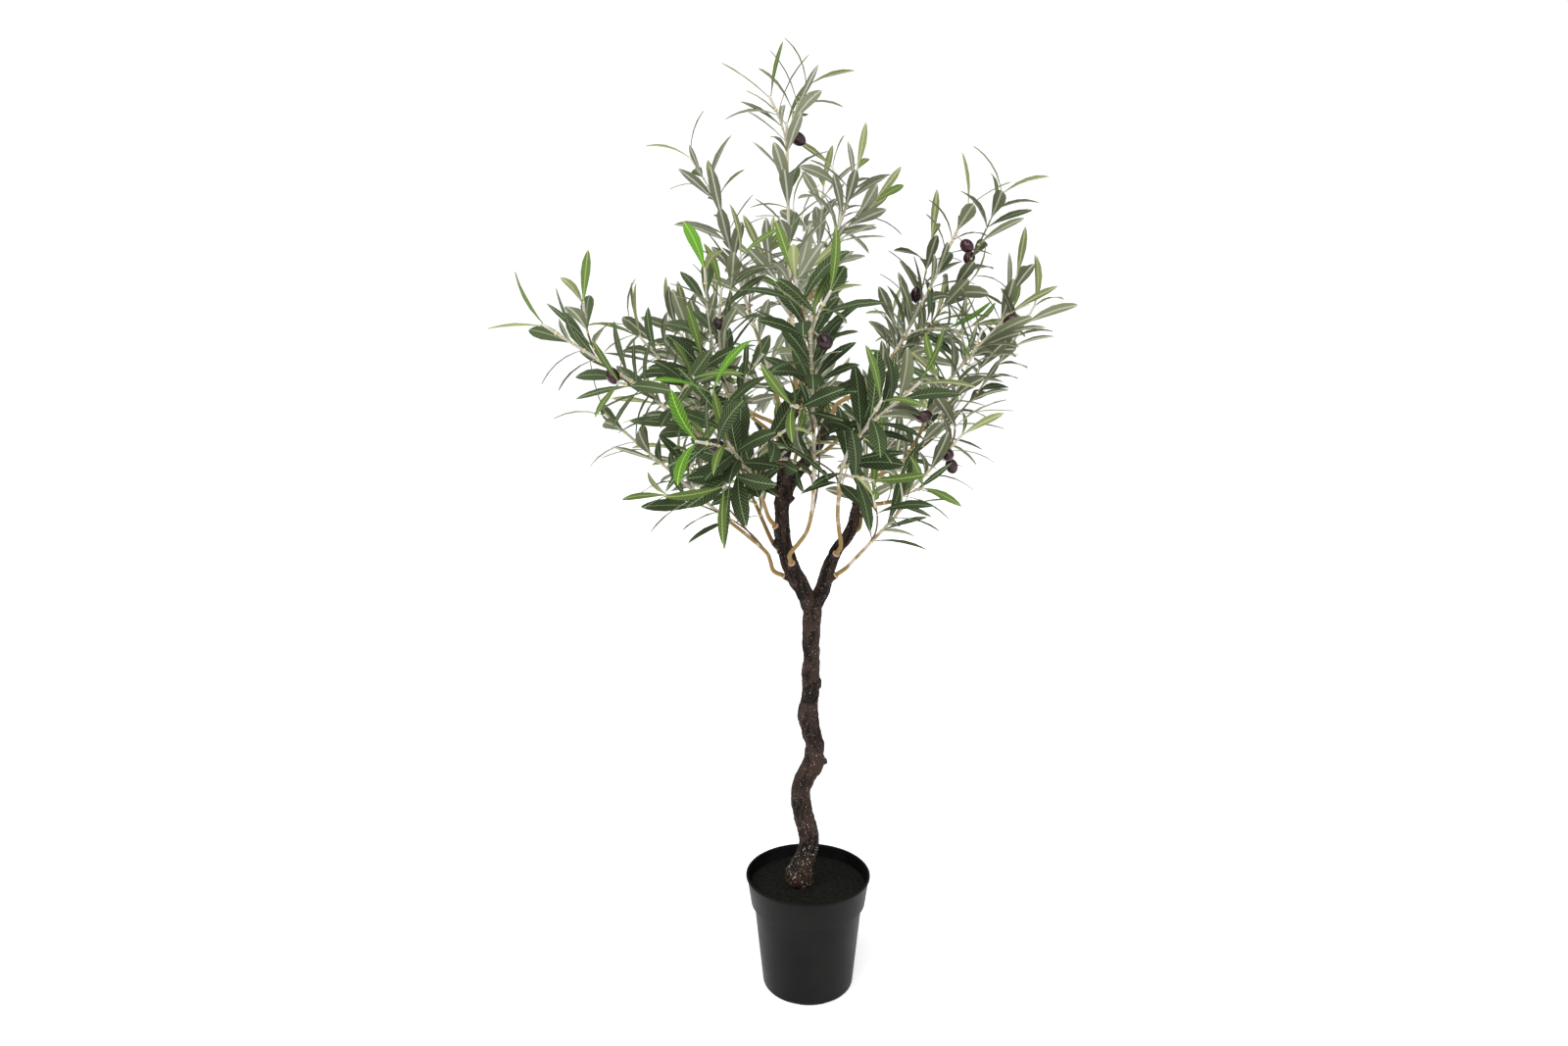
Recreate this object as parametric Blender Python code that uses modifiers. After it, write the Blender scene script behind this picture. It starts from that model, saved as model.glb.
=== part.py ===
# Artificial potted olive tree, about 1.16 m tall, in a plain plastic nursery pot.
# Metres, +Z up. The origin is the middle of the pot's flat underside, and the front is -Y.
# Named sizes and places are in millimetres and go through mm(), which makes them metres.

import math
import random

import bmesh
import bpy
import numpy as np
from mathutils import Matrix, Vector
from mathutils.bvhtree import BVHTree


def mm(*values):
    """Millimetres to metres: one number, or a point as an array."""
    if len(values) == 1:
        return values[0] * 0.001
    return np.array(values, dtype=float) * 0.001


UP = np.array([0.0, 0.0, 1.0])
SIDEWAYS = np.array([1.0, 0.0, 0.0])

# What touches in the real tree keeps this much air here, and double points merge within WELD.
GAP = mm(0.3)
WELD = mm(0.01)

# Pot: a turned plastic shell with a tall collar band round its mouth.
POT_HEIGHT = mm(145)
RIM_RADIUS = mm(80)
LIP_HEIGHT = mm(3)
BAND_HEIGHT = mm(37)
BAND_TOP_RADIUS = mm(78.6)
BAND_FOOT_RADIUS = mm(73.5)
BODY_TOP_RADIUS = mm(69.5)
BODY_FOOT_RADIUS = mm(58.4)
FOOT_ROUND = mm(4)
POT_WALL = mm(1.8)
POT_FLOOR = mm(2.5)
POT_SIDES = 32
DRAIN_COUNT = 8
DRAIN_WIDTH = mm(13)
DRAIN_HEIGHT = mm(2)
DRAIN_DEPTH = mm(6)
DRAIN_TURN = math.radians(251)

# Potting fill: a moulded plug that the trunk stands on.
FILL_TOP = mm(129.5)

# Trunk: a smooth winding curve through these places, from the fill up to the fork.
TRUNK_PATH = [mm(-8, 0, 129.8), mm(-9, -2, 152), mm(1, 0, 188), mm(-10, 4, 248), mm(8, -3, 304),
              mm(0, -2, 353), mm(3, 3, 396), mm(3, 1, 441), mm(5, 0, 497)]
TRUNK_FOOT_RADIUS = mm(12.4)
TRUNK_TOP_RADIUS = mm(11.2)
FLARE_RADIUS = mm(3)
FLARE_HEIGHT = mm(146)
FLARE_SPREAD = mm(16)
WAIST_DEPTH = mm(1.4)
WAIST_HEIGHT = mm(436)
WAIST_SPREAD = mm(40)
LIMB_SIDES = 10
ROOT_RIDGES = 4
RIDGE_HEIGHT = mm(44)
RIDGE_REACH = mm(12)
RIDGE_RADIUS = mm(6)

# Boughs: each one tapering limb, from its seat on the trunk or the leader to its tip.
FORK = mm(4, 0, 491)
LEADER_PATH = [FORK, mm(-9, 0, 517), mm(-25, -1, 551), mm(-33, -2, 586), mm(-33, 0, 646),
               mm(-30, 4, 690), mm(-20, 8, 745)]
LEADER_RADII = (mm(10.6), mm(7.0))
RIGHT_PATH = [FORK, mm(17, 0, 515), mm(23, 0, 537), mm(34, 0, 564), mm(53, 1, 590),
              mm(61, 4, 631)]
RIGHT_RADII = (mm(9.6), mm(5.6))
INNER_PATH = [mm(-33, 0, 625), mm(-18, 24, 654), mm(12, 44, 694), mm(30, 50, 732)]
INNER_RADII = (mm(7.6), mm(6.2))
CROTCH_REACH = mm(26)
INNER_SEAT_REACH = mm(22)
LIMB_STEP = mm(17)

# Sockets: short collars on the limbs that the plastic stems plug into.
SOCKET_LEAN = math.radians(40)
SOCKET_STAND = mm(3)
SOCKET_RADIUS = mm(4.4)

# Knots: sawn stubs and swellings, each from the limb's middle outwards; "flare" is the foot's
# radius as a share of the end's.
KNOTS = [
    dict(limb="trunk", height=381, out=(-0.15, -1, 0.12), radius=8.6, flare=1.2, stand=3),
    dict(limb="trunk", height=391, out=(1, 0.1, 0.3), radius=5, flare=1.6, stand=3),
    dict(limb="trunk", height=351, out=(-1, -0.3, 0.2), radius=4, flare=1.6, stand=2.5),
    dict(limb="trunk", height=289, out=(1, -0.2, 0.35), radius=4, flare=2.0, stand=9),
    dict(limb="leader", height=569, out=(-0.9, -0.2, 0.55), radius=6.5, flare=1.2, stand=6),
    dict(limb="leader", height=617, out=(0.8, -0.5, 0.8), radius=2.8, flare=1.3, stand=14),
    dict(limb="right_bough", height=531, out=(1, -0.2, 0.1), radius=5, flare=1.4, stand=2),
]

# Stems, twigs and leaves.
STEM_RADII = (mm(3.6), mm(2.5))
TWIG_RADII = (mm(2.1), mm(1.8))
TWIG_SIDES = 3
STEM_STEP = mm(36)
STEM_START = mm(14)
TWIG_BEND = 0.4
TWIG_ZONE = (0.45, 0.9)
TWIG_FORWARD = 0.75
TWIG_RISE = 0.15
TWIG_LENGTH = (mm(60), mm(95))
TWIG_ROOM = mm(3.5)
GOLDEN_ANGLE = math.radians(137.5)
FORK_ANGLE = math.radians(33)
NODE_PITCH = (mm(24), mm(33))
NODE_TURN = math.pi / 2
STEM_NODES = 4
TWIG_NODES = 2
END_SINK = mm(4)
BARE_SHARE = 0.2
TWIGS_A_SEED = 100
LEAF_LENGTH = (mm(66), mm(90))
LEAF_WIDTH = (mm(16), mm(21))
SLIM_WIDTH = mm(10.5)
SLIM_SHARE = 0.3
TIP_LEAF_LENGTH = (mm(58), mm(68))
TIP_LEAF_WIDTH = mm(10)
LEAF_THICKNESS = 0.018
NECK_HALF = mm(0.45)
WIDEST = 0.5
LEAF_TILT = math.radians(40)
TIP_TILT = math.radians(27)
TILT_SPREAD = math.radians(10)
TURN_SPREAD = math.radians(25)
LEAF_DROOP = math.radians(34)
LEAF_CLEAR = mm(1.1)
FEELER_RINGS = ((0.16, 0.75), (0.4, 1.0), (0.75, 0.9), (1.02, 0.2))
LEAF_TRIES = [math.radians(angle) for angle in (0, 35, -35, 70, -70)]
TWIG_CLEAR = mm(0.8)
OLIVE_RADIUS = mm(7.6)
OLIVE_LENGTH = mm(20)
STALK_RADIUS = mm(1.4)

# One row for each foliage spray. Its stem leaves the limb at a height, towards a side, passes
# "via" and ends at "tip"; "forks" are the ends of its long twigs, "twigs" counts the short ones
# that the seed places, and "olives" are the fruits' middles.
SPRAYS = [
    dict(name="spray_low_left", limb="leader", height=524, side=(-1, 0.2), seed=267, twigs=1,
         via=[(-52, -6, 562), (-101, -30, 607)], tip=(-242, -50, 732),
         forks=[(-164, 20, 690), (-168, -80, 640)]),
    dict(name="spray_front_left", limb="leader", height=583, side=(-0.7, -0.8), seed=39, twigs=1,
         via=[(-60, -90, 647)], tip=(-88, -200, 701),
         forks=[(-102, -220, 751), (-116, -235, 701), (-24, -200, 716), (-92, -205, 655)],
         olives=[(-100, -185, 696)]),
    dict(name="spray_front", limb="leader", height=536, side=(0.3, -1), seed=37, twigs=1,
         via=[(-4, -52, 594), (2, -112, 652)], tip=(-6, -236, 820),
         forks=[(-21, -250, 853), (12, -262, 838), (-24, -240, 735)],
         olives=[(7, -250, 794)]),
    dict(name="spray_front_right", limb="right_bough", height=551, side=(0.1, -1), seed=561,
         twigs=1, via=[(32, -60, 614), (39, -180, 697)], tip=(105, -200, 760),
         forks=[(62, -240, 740), (60, -190, 661)]),
    dict(name="spray_low_right", limb="right_bough", height=524, side=(1, -0.3), seed=212, twigs=1,
         via=[(52, -30, 555), (88, -60, 600)], tip=(110, -70, 627),
         forks=[(70, -90, 640)]),
    dict(name="spray_crown", limb="leader", height=745, side=(0, 0), seed=310, twigs=1,
         via=[(-18, -2, 790), (-24, -12, 896)], tip=(-28, -30, 1068),
         forks=[(-48, -50, 1090), (-4, -40, 1107), (-56, 40, 929)],
         olives=[(-15, -28, 1050)]),
    dict(name="spray_tall_back", limb="leader", height=726, side=(0.6, 0.8), seed=462, twigs=1,
         via=[(-4, 40, 860), (38, 70, 969)], tip=(64, 80, 1050),
         forks=[(85, 55, 1003), (32, 110, 1062)]),
    dict(name="spray_upper_right", limb="inner_bough", height=732, side=(0, 0), seed=331, twigs=1,
         via=[(80, 50, 772), (130, 30, 850)], tip=(192, 0, 984),
         forks=[(231, -4, 998), (157, 60, 958), (195, 26, 890)],
         olives=[(188, -8, 933), (199, 30, 927), (136, 44, 884)]),
    dict(name="spray_right", limb="right_bough", height=631, side=(0, 0), seed=18, twigs=1,
         via=[(114, 0, 674), (165, 0, 766)], tip=(252, 20, 862),
         forks=[(280, 20, 869), (260, 32, 907), (200, -45, 830)],
         olives=[(244, -2, 846), (123, -30, 733)]),
    dict(name="spray_right_low", limb="right_bough", height=603, side=(0.9, -0.4), seed=25,
         twigs=1, via=[(104, -30, 630), (140, -50, 666)], tip=(180, -50, 710),
         forks=[(128, -88, 648)],
         olives=[(160, -58, 685), (168, -42, 671), (133, -52, 729)]),
    dict(name="spray_far_left", limb="leader", height=631, side=(-1, -0.2), seed=87, twigs=1,
         via=[(-98, -30, 681), (-190, -110, 760)], tip=(-276, -180, 819),
         forks=[(-236, -171, 843), (-203, -165, 762)],
         olives=[(-213, -140, 770)]),
    dict(name="spray_left", limb="leader", height=663, side=(-1, 0), seed=22, twigs=1,
         via=[(-92, 0, 718), (-156, -48, 774)], tip=(-196, -70, 820),
         forks=[(-147, 0, 840), (-120, -110, 791)]),
    dict(name="spray_left_centre", limb="leader", height=696, side=(-0.9, -0.4), seed=117, twigs=1,
         via=[(-76, -22, 739), (-103, -60, 796)], tip=(-100, -100, 868),
         forks=[(-117, -110, 888), (-78, -90, 907)],
         olives=[(-104, -78, 833)]),
    dict(name="spray_upper_left", limb="leader", height=706, side=(-0.5, 0.9), seed=491, twigs=1,
         via=[(-48, 44, 785), (-86, 80, 898)], tip=(-120, 100, 1018),
         forks=[(-155, 100, 1071), (-60, 70, 936)]),
    dict(name="spray_top_back", limb="inner_bough", height=707, side=(-0.2, 1), seed=4, twigs=2,
         via=[(10, 120, 809), (14, 170, 918)], tip=(26, 215, 1066),
         forks=[(-20, 190, 1027), (70, 200, 1017)]),
    dict(name="spray_back_left", limb="leader", height=681, side=(-0.5, 0.9), seed=402, twigs=1,
         via=[(-92, 100, 749)], tip=(-195, 180, 872),
         forks=[(-243, 130, 860), (-130, 200, 892)],
         olives=[(-169, 175, 830)]),
    dict(name="spray_back_right", limb="inner_bough", height=681, side=(0.6, 0.8), seed=128, twigs=1,
         via=[(92, 130, 749)], tip=(187, 190, 878),
         forks=[(231, 150, 860), (129, 240, 887)],
         olives=[(159, 190, 826)]),
    dict(name="spray_back", limb="leader", height=603, side=(0.2, 1), seed=510, twigs=1,
         via=[(-10, 120, 709)], tip=(-16, 262, 825),
         forks=[(40, 262, 788), (-84, 270, 788)],
         olives=[(-4, 236, 780)]),
    dict(name="spray_back_low_right", limb="right_bough", height=579, side=(0.5, 0.9), seed=114,
         twigs=1, via=[(76, 86, 650)], tip=(120, 176, 741),
         forks=[(168, 130, 752)]),
    dict(name="spray_back_low_left", limb="leader", height=551, side=(-0.6, 0.9), seed=353,
         twigs=1, via=[(-80, 76, 640)], tip=(-150, 172, 745),
         forks=[(-204, 104, 752)]),
]

# Colour as sRGB bytes, roughness and metallic value of each finish.
FINISHES = {
    "pot_plastic": ((43, 43, 43), 0.42, 0.0),
    "fill": ((30, 29, 22), 0.95, 0.0),
    "bark": ((62, 45, 38), 0.7, 0.0),
    "leaf_cloth": ((52, 74, 52), 0.75, 0.0),
    "stem_plastic": ((150, 122, 76), 0.5, 0.0),
    "olive_plastic": ((42, 16, 25), 0.25, 0.0),
}
SPRAY_FINISHES = ("stem_plastic", "leaf_cloth", "olive_plastic")


def clear_scene():
    """Start from an empty scene."""
    for thing in list(bpy.data.objects):
        bpy.data.objects.remove(thing, do_unlink=True)


def linear(byte):
    """One sRGB byte as a linear colour value."""
    share = byte / 255
    return share / 12.92 if share <= 0.04045 else ((share + 0.055) / 1.055) ** 2.4


def finish(name):
    """The Principled material of one finish, made on its first use."""
    if name in bpy.data.materials:
        return bpy.data.materials[name]
    colour, roughness, metallic = FINISHES[name]
    material = bpy.data.materials.new(name)
    material.use_nodes = True
    shader = material.node_tree.nodes["Principled BSDF"]
    shader.inputs["Base Color"].default_value = (*[linear(byte) for byte in colour], 1)
    shader.inputs["Roughness"].default_value = roughness
    shader.inputs["Metallic"].default_value = metallic
    material.diffuse_color = shader.inputs["Base Color"].default_value
    return material


def unit(vector):
    """The vector at length one."""
    return vector / np.linalg.norm(vector)


def across(vector):
    """A unit vector at a right angle to the given one."""
    return unit(np.cross(vector, UP if abs(vector[2]) < 0.9 else SIDEWAYS))


def turned_side(grain, turn):
    """A unit vector square to the grain, at an angle about it."""
    first = across(grain)
    return first * math.cos(turn) + np.cross(grain, first) * math.sin(turn)


def smooth_path(places, step):
    """A smooth curve through the places, as points about one step apart. At each place it runs
    parallel to the line between the two neighbours."""
    places = np.array(places, dtype=float)
    padded = np.vstack([2 * places[0] - places[1], places, 2 * places[-1] - places[-2]])
    stretches = []
    for first in range(len(places) - 1):
        before, start, end, after = padded[first:first + 4]
        chord = float(np.linalg.norm(end - start))
        leave, arrive = unit(end - before) * chord, unit(after - start) * chord
        t = np.linspace(0, 1, max(2, round(chord / step)), endpoint=False)[:, None]
        stretches.append((2 * t ** 3 - 3 * t ** 2 + 1) * start + (t ** 3 - 2 * t ** 2 + t) * leave
                         + (3 * t ** 2 - 2 * t ** 3) * end + (t ** 3 - t ** 2) * arrive)
    return np.vstack(stretches + [places[-1:]])


def tangents(path):
    """The unit direction of a path at each of its points."""
    slopes = np.gradient(path, axis=0)
    return slopes / np.linalg.norm(slopes, axis=1)[:, None]


def lengths_along(path):
    """The length along a path at each of its points."""
    return np.concatenate([[0], np.cumsum(np.linalg.norm(np.diff(path, axis=0), axis=1))])


def read_off(place, scale, points):
    """The point on a path where its scale, such as its height or its length, has a value."""
    return np.array([np.interp(place, scale, points[:, axis]) for axis in range(3)])


def taper(path, radii):
    """A radius for each point of a path, from the first radius to the second."""
    return np.linspace(radii[0], radii[1], len(path))


def cage(path, radii, sides=4):
    """A coarse closed skin round a path, as points and faces, for testing what touches it."""
    along = tangents(path)
    points = []
    for place, direction, radius in zip(path, along, radii):
        first = across(direction)
        second = np.cross(direction, first)
        for turn in range(sides):
            angle = 2 * math.pi * turn / sides
            points.append(place + radius * (first * math.cos(angle) + second * math.sin(angle)))
    faces = [[ring * sides + turn, ring * sides + (turn + 1) % sides,
              (ring + 1) * sides + (turn + 1) % sides, (ring + 1) * sides + turn]
             for ring in range(len(path) - 1) for turn in range(sides)]
    faces.append(list(range(sides)))
    faces.append([(len(path) - 1) * sides + turn for turn in range(sides)])
    return points, faces


def skin_tree(skins):
    """One search tree over several cages."""
    points, faces = [], []
    for skin_points, skin_faces in skins:
        start = len(points)
        points += [Vector(point) for point in skin_points]
        faces += [[corner + start for corner in face] for face in skin_faces]
    return BVHTree.FromPolygons(points, faces)


# The limbs

def swollen_trunk():
    """The trunk's path and radii: a slow taper, a flare at the foot and a slim waist."""
    path = smooth_path(TRUNK_PATH, LIMB_STEP)
    radii = taper(path, (TRUNK_FOOT_RADIUS, TRUNK_TOP_RADIUS))
    radii += FLARE_RADIUS * np.exp(-((path[:, 2] - FLARE_HEIGHT) / FLARE_SPREAD) ** 2)
    radii -= WAIST_DEPTH * np.exp(-((path[:, 2] - WAIST_HEIGHT) / WAIST_SPREAD) ** 2)
    return path, radii


def cut_off(path, radii, reach, gap):
    """The start of a limb and the rest of it, parted square, half-way down the straight stretch
    that holds the reach."""
    lengths = lengths_along(path)
    split = int(np.searchsorted(lengths, reach))
    middle = (lengths[split - 1] + lengths[split]) / 2
    stub = np.vstack([path[:split], read_off(middle, lengths, path)])
    rest = np.vstack([read_off(middle + gap, lengths, path), path[split:]])
    radius = float(np.interp(middle, lengths, radii))
    return (stub, np.append(radii[:split], radius)), (rest, np.append([radius], radii[split:]))


def plan_limbs():
    """Path and radii of the trunk, the boughs and the short seats that the boughs meet."""
    limbs = {"trunk": swollen_trunk()}
    seats = {}
    for name, places, radii, reach in (("leader", LEADER_PATH, LEADER_RADII, CROTCH_REACH),
                                       ("right_bough", RIGHT_PATH, RIGHT_RADII, CROTCH_REACH),
                                       ("inner_bough", INNER_PATH, INNER_RADII,
                                        INNER_SEAT_REACH)):
        path = smooth_path(places, LIMB_STEP)
        seats[name], limbs[name] = cut_off(path, taper(path, radii), reach, GAP)
    return limbs, seats


def socket_of(limb, spray):
    """Where a spray's stem plugs in: the socket's foot inside the limb, its end and direction."""
    path, radii = limb
    height = min(mm(spray["height"]), path[-1, 2])
    foot = read_off(height, path[:, 2], path)
    radius = float(np.interp(height, path[:, 2], radii))
    nearest = int(np.argmin(abs(path[:, 2] - height)))
    grain = tangents(path)[nearest]
    if spray["side"] == (0, 0):
        return foot - grain * radius, foot + grain * SOCKET_STAND, grain
    side = np.array([*spray["side"], 0.0])
    side = unit(side - grain * side.dot(grain))
    out = side * math.sin(SOCKET_LEAN) + grain * math.cos(SOCKET_LEAN)
    return foot, foot + out * (radius + SOCKET_STAND) / math.sin(SOCKET_LEAN), out


# The seeded growth of one spray

def bent_twig(start, heading, end, step):
    """A twig that leaves along the heading and bends over to its end, a parabola."""
    reach = float(np.linalg.norm(end - start))
    corner = start + heading * TWIG_BEND * reach
    count = max(4, round(reach / step) + 1)
    t = np.linspace(0, 1, count)[:, None]
    return (1 - t) ** 2 * start + 2 * t * (1 - t) * corner + t ** 2 * end


def fork_point(stem, end):
    """The index on the stem from which the end lies nearest to the fork angle off its line."""
    along = tangents(stem)
    chords = end - stem
    chords = chords / np.linalg.norm(chords, axis=1)[:, None]
    angles = np.arccos(np.clip((along * chords).sum(axis=1), -1, 1))
    first = len(stem) // 4
    return first + int(np.argmin(abs(angles[first:-1] - FORK_ANGLE)))


def grow_twigs(spray, socket_end, out, blocked):
    """The stem and twigs of one spray, each as path, radii and kind."""
    rng = random.Random(spray["seed"])
    foot = socket_end + out * GAP
    places = [foot, foot + out * STEM_START] + [mm(*place) for place in spray["via"]]
    stem = smooth_path(places + [mm(*spray["tip"])], STEM_STEP)
    stem = np.delete(stem, 1, axis=0)  # straight out of the socket
    along = tangents(stem)
    twigs = [(stem, taper(stem, STEM_RADII), "stem")]
    for fork in spray["forks"]:
        end = mm(*fork)
        start = fork_point(stem, end)
        path = bent_twig(stem[start], along[start], end, STEM_STEP)
        twigs.append((path, taper(path, TWIG_RADII), "twig"))
    turn = rng.uniform(0, 2 * math.pi)
    for number in range(spray["twigs"]):
        zone = TWIG_ZONE[0] + (TWIG_ZONE[1] - TWIG_ZONE[0]) * (number + rng.random()) / spray["twigs"]
        start = int(zone * (len(stem) - 1))
        turn += GOLDEN_ANGLE
        heading = TWIG_FORWARD * along[start] + TWIG_RISE * UP + turned_side(along[start], turn)
        end = stem[start] + rng.uniform(*TWIG_LENGTH) * unit(heading)
        path = bent_twig(stem[start], along[start], end, STEM_STEP)
        if not blocked(cage(path[1:], [TWIG_ROOM] * (len(path) - 1))):
            twigs.append((path, taper(path, TWIG_RADII), "twig"))
    stalks = []
    for olive in spray.get("olives", []):
        middle = mm(*olive)
        near = min(twigs, key=lambda twig: np.linalg.norm(twig[0][1:-1] - middle, axis=1).min())
        start = 1 + int(np.argmin(np.linalg.norm(near[0][1:-1] - middle, axis=1)))
        path = np.array([near[0][start], middle])
        stalks.append((path, taper(path, (STALK_RADIUS, STALK_RADIUS)), "stalk"))
    return twigs + stalks


def leaf_nodes(path, kind, rng):
    """Places down a twig where leaves stand in pairs: point, direction and number from the end."""
    most = STEM_NODES if kind == "stem" else TWIG_NODES
    lengths = lengths_along(path)
    along = tangents(path)
    place = lengths[-1] - END_SINK
    for number in range(most):
        if place < lengths[-1] * BARE_SHARE:
            return
        yield read_off(place, lengths, path), unit(read_off(place, lengths, along)), number
        place -= rng.uniform(*NODE_PITCH)


def drawn_leaf(number, rng):
    """One leaf's size and bend; the pair at a twig's end is young: slim and closer to its line."""
    young = number == 0
    tilt = (TIP_TILT if young else LEAF_TILT) + rng.uniform(-TILT_SPREAD, TILT_SPREAD)
    slim = rng.random() < SLIM_SHARE
    length = rng.uniform(*(TIP_LEAF_LENGTH if young else LEAF_LENGTH))
    width = rng.uniform(*LEAF_WIDTH)
    if young or slim:
        width = TIP_LEAF_WIDTH if young else SLIM_WIDTH
    droop = LEAF_DROOP * rng.uniform(0.4, 1.6)
    return dict(young=young, tilt=tilt, length=length, width=width, droop=droop)


def placed_leaf(drawn, point, grain, turn):
    """The leaf set on its twig: it leaves at its tilt, on the side that the turn gives."""
    out = grain * math.cos(drawn["tilt"]) + turned_side(grain, turn) * math.sin(drawn["tilt"])
    return dict(drawn, root=point, out=out, face=unit(grain - out * grain.dot(out)))


def wanted_leaves(seed, twigs):
    """Every leaf of a spray before any is skipped: what is drawn, its place and its turn."""
    for twig_number, (path, radii, kind) in enumerate(twigs):
        if kind == "stalk":
            continue
        rng = random.Random(seed * TWIGS_A_SEED + twig_number)
        turn = rng.uniform(0, 2 * math.pi)
        for point, grain, number in leaf_nodes(path, kind, rng):
            turn += NODE_TURN + rng.uniform(-TURN_SPREAD, TURN_SPREAD)
            for half_turn in (0, math.pi):
                yield drawn_leaf(number, rng), point, grain, turn + half_turn


def leaf_line(leaf, share):
    """Point, upper normal and side of a leaf at a share of its length, bent to a circle's arc."""
    bend = leaf["droop"] * share
    reach = leaf["length"] * math.sin(bend) / leaf["droop"]
    drop = leaf["length"] * (1 - math.cos(bend)) / leaf["droop"]
    point = leaf["root"] + leaf["out"] * reach - leaf["face"] * drop
    normal = leaf["face"] * math.cos(bend) + leaf["out"] * math.sin(bend)
    return point, normal, np.cross(leaf["out"], leaf["face"])


def leaf_feeler(leaf):
    """A slightly swollen cage of the leaf's blade, for testing what it would touch."""
    points = []
    for share, swell in FEELER_RINGS:
        point, normal, side = leaf_line(leaf, share)
        half = leaf["width"] / 2 * swell + LEAF_CLEAR
        points += [point + side * half, point + normal * LEAF_CLEAR, point - side * half,
                   point - normal * (LEAF_CLEAR + leaf["length"] * LEAF_THICKNESS)]
    faces = [[ring * 4 + turn, ring * 4 + (turn + 1) % 4,
              ring * 4 + 4 + (turn + 1) % 4, ring * 4 + 4 + turn]
             for ring in range(len(FEELER_RINGS) - 1) for turn in range(4)]
    return points, faces + [[0, 1, 2, 3], [len(points) - 4 + turn for turn in range(4)]]


def plan_tree():
    """Everything that grows: limbs, sockets, twigs of each spray and its leaves."""
    limbs, seats = plan_limbs()
    sockets = {spray["name"]: socket_of(limbs[spray["limb"]], spray) for spray in SPRAYS}
    skins = [cage(path, radii, 8) for path, radii in limbs.values()]
    skins += [cage(np.array([foot, end]), [SOCKET_RADIUS] * 2) for foot, end, out in
              sockets.values()]
    twigs = {}
    for spray in SPRAYS:
        tree = skin_tree(skins)
        foot, end, out = sockets[spray["name"]]
        grown = grow_twigs(spray, end, out,
                           lambda skin: bool(skin_tree([skin]).overlap(tree)))
        twigs[spray["name"]] = grown
        skins += [cage(path, radii + TWIG_CLEAR) for path, radii, kind in grown]
        skins += [cage(*olive_span(path)) for path, radii, kind in grown if kind == "stalk"]
    tree = skin_tree(skins)
    blades = []
    leaves = {}
    for spray in SPRAYS:
        leaves[spray["name"]] = []
        for drawn, point, grain, turn in wanted_leaves(spray["seed"], twigs[spray["name"]]):
            leaf = free_leaf(drawn, point, grain, turn, tree, blades)
            if leaf:
                leaves[spray["name"]].append(leaf)
    return limbs, seats, sockets, twigs, leaves


def free_leaf(drawn, point, grain, turn, tree, blades):
    """The leaf at the first turn where it touches nothing, or None where it always would."""
    for step in LEAF_TRIES:
        leaf = placed_leaf(drawn, point, grain, turn + step)
        blade = skin_tree([leaf_feeler(leaf)])
        middle = leaf_line(leaf, 0.5)[0]
        near = [other for place, other in blades
                if np.linalg.norm(place - middle) < LEAF_LENGTH[1]]
        if not blade.overlap(tree) and not any(blade.overlap(other) for other in near):
            blades.append((middle, blade))
            return leaf
    return None


def olive_span(path):
    """A short bar along an olive, for a cage round it."""
    grain = unit(path[-1] - path[-2])
    ends = np.array([path[-1] - grain * OLIVE_LENGTH / 2, path[-1] + grain * OLIVE_LENGTH / 2])
    return ends, np.array([OLIVE_RADIUS, OLIVE_RADIUS])


# Solids

def link(thing, collection):
    """Put an object in a collection and nowhere else."""
    for holder in list(thing.users_collection):
        holder.objects.unlink(thing)
    collection.objects.link(thing)
    return thing


def mesh_object(name, mesh, collection, material):
    """An object for a mesh, with its finish; a spray's pieces all carry the same three slots."""
    mesh.materials.clear()
    slots = SPRAY_FINISHES if material in SPRAY_FINISHES else (material,)
    for slot in slots:
        mesh.materials.append(finish(slot))
    mesh.polygons.foreach_set("material_index", [slots.index(material)] * len(mesh.polygons))
    thing = bpy.data.objects.new(name, mesh)
    collection.objects.link(thing)
    return thing


def face_outwards(work):
    """Give a closed mesh's faces one winding, and turn them all where its volume is negative."""
    bmesh.ops.recalc_face_normals(work, faces=work.faces)
    if work.calc_volume(signed=True) < 0:
        bmesh.ops.reverse_faces(work, faces=work.faces)


def weld(mesh):
    """Merge a mesh's double points and point its faces outwards."""
    work = bmesh.new()
    work.from_mesh(mesh)
    bmesh.ops.remove_doubles(work, verts=work.verts, dist=WELD)
    face_outwards(work)
    work.to_mesh(mesh)
    work.free()
    return mesh


def tube(name, path, radii, sides, collection, material):
    """A tapering round bar along a path: a bevelled curve made a mesh, its caps welded."""
    curve = bpy.data.curves.new(name, "CURVE")
    curve.dimensions = "3D"
    curve.bevel_depth = 1.0
    curve.bevel_resolution = (sides - 4) // 2
    curve.use_fill_caps = True
    profile = None
    if sides == 3:
        profile = bpy.data.objects.new("profile", three_sided_profile())
        collection.objects.link(profile)
        curve.bevel_mode = "OBJECT"
        curve.bevel_object = profile
    spline = curve.splines.new("POLY")
    spline.points.add(len(path) - 1)
    for spot, place, radius in zip(spline.points, path, radii):
        spot.co = (*place, 1)
        spot.radius = radius
    guide = bpy.data.objects.new(name, curve)
    collection.objects.link(guide)
    bpy.context.view_layer.update()
    mesh = bpy.data.meshes.new_from_object(guide.evaluated_get(
        bpy.context.evaluated_depsgraph_get()))
    bpy.data.objects.remove(guide)
    if profile:
        bpy.data.objects.remove(profile)
    mesh.name = name
    return mesh_object(name, weld(mesh), collection, material)


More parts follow.
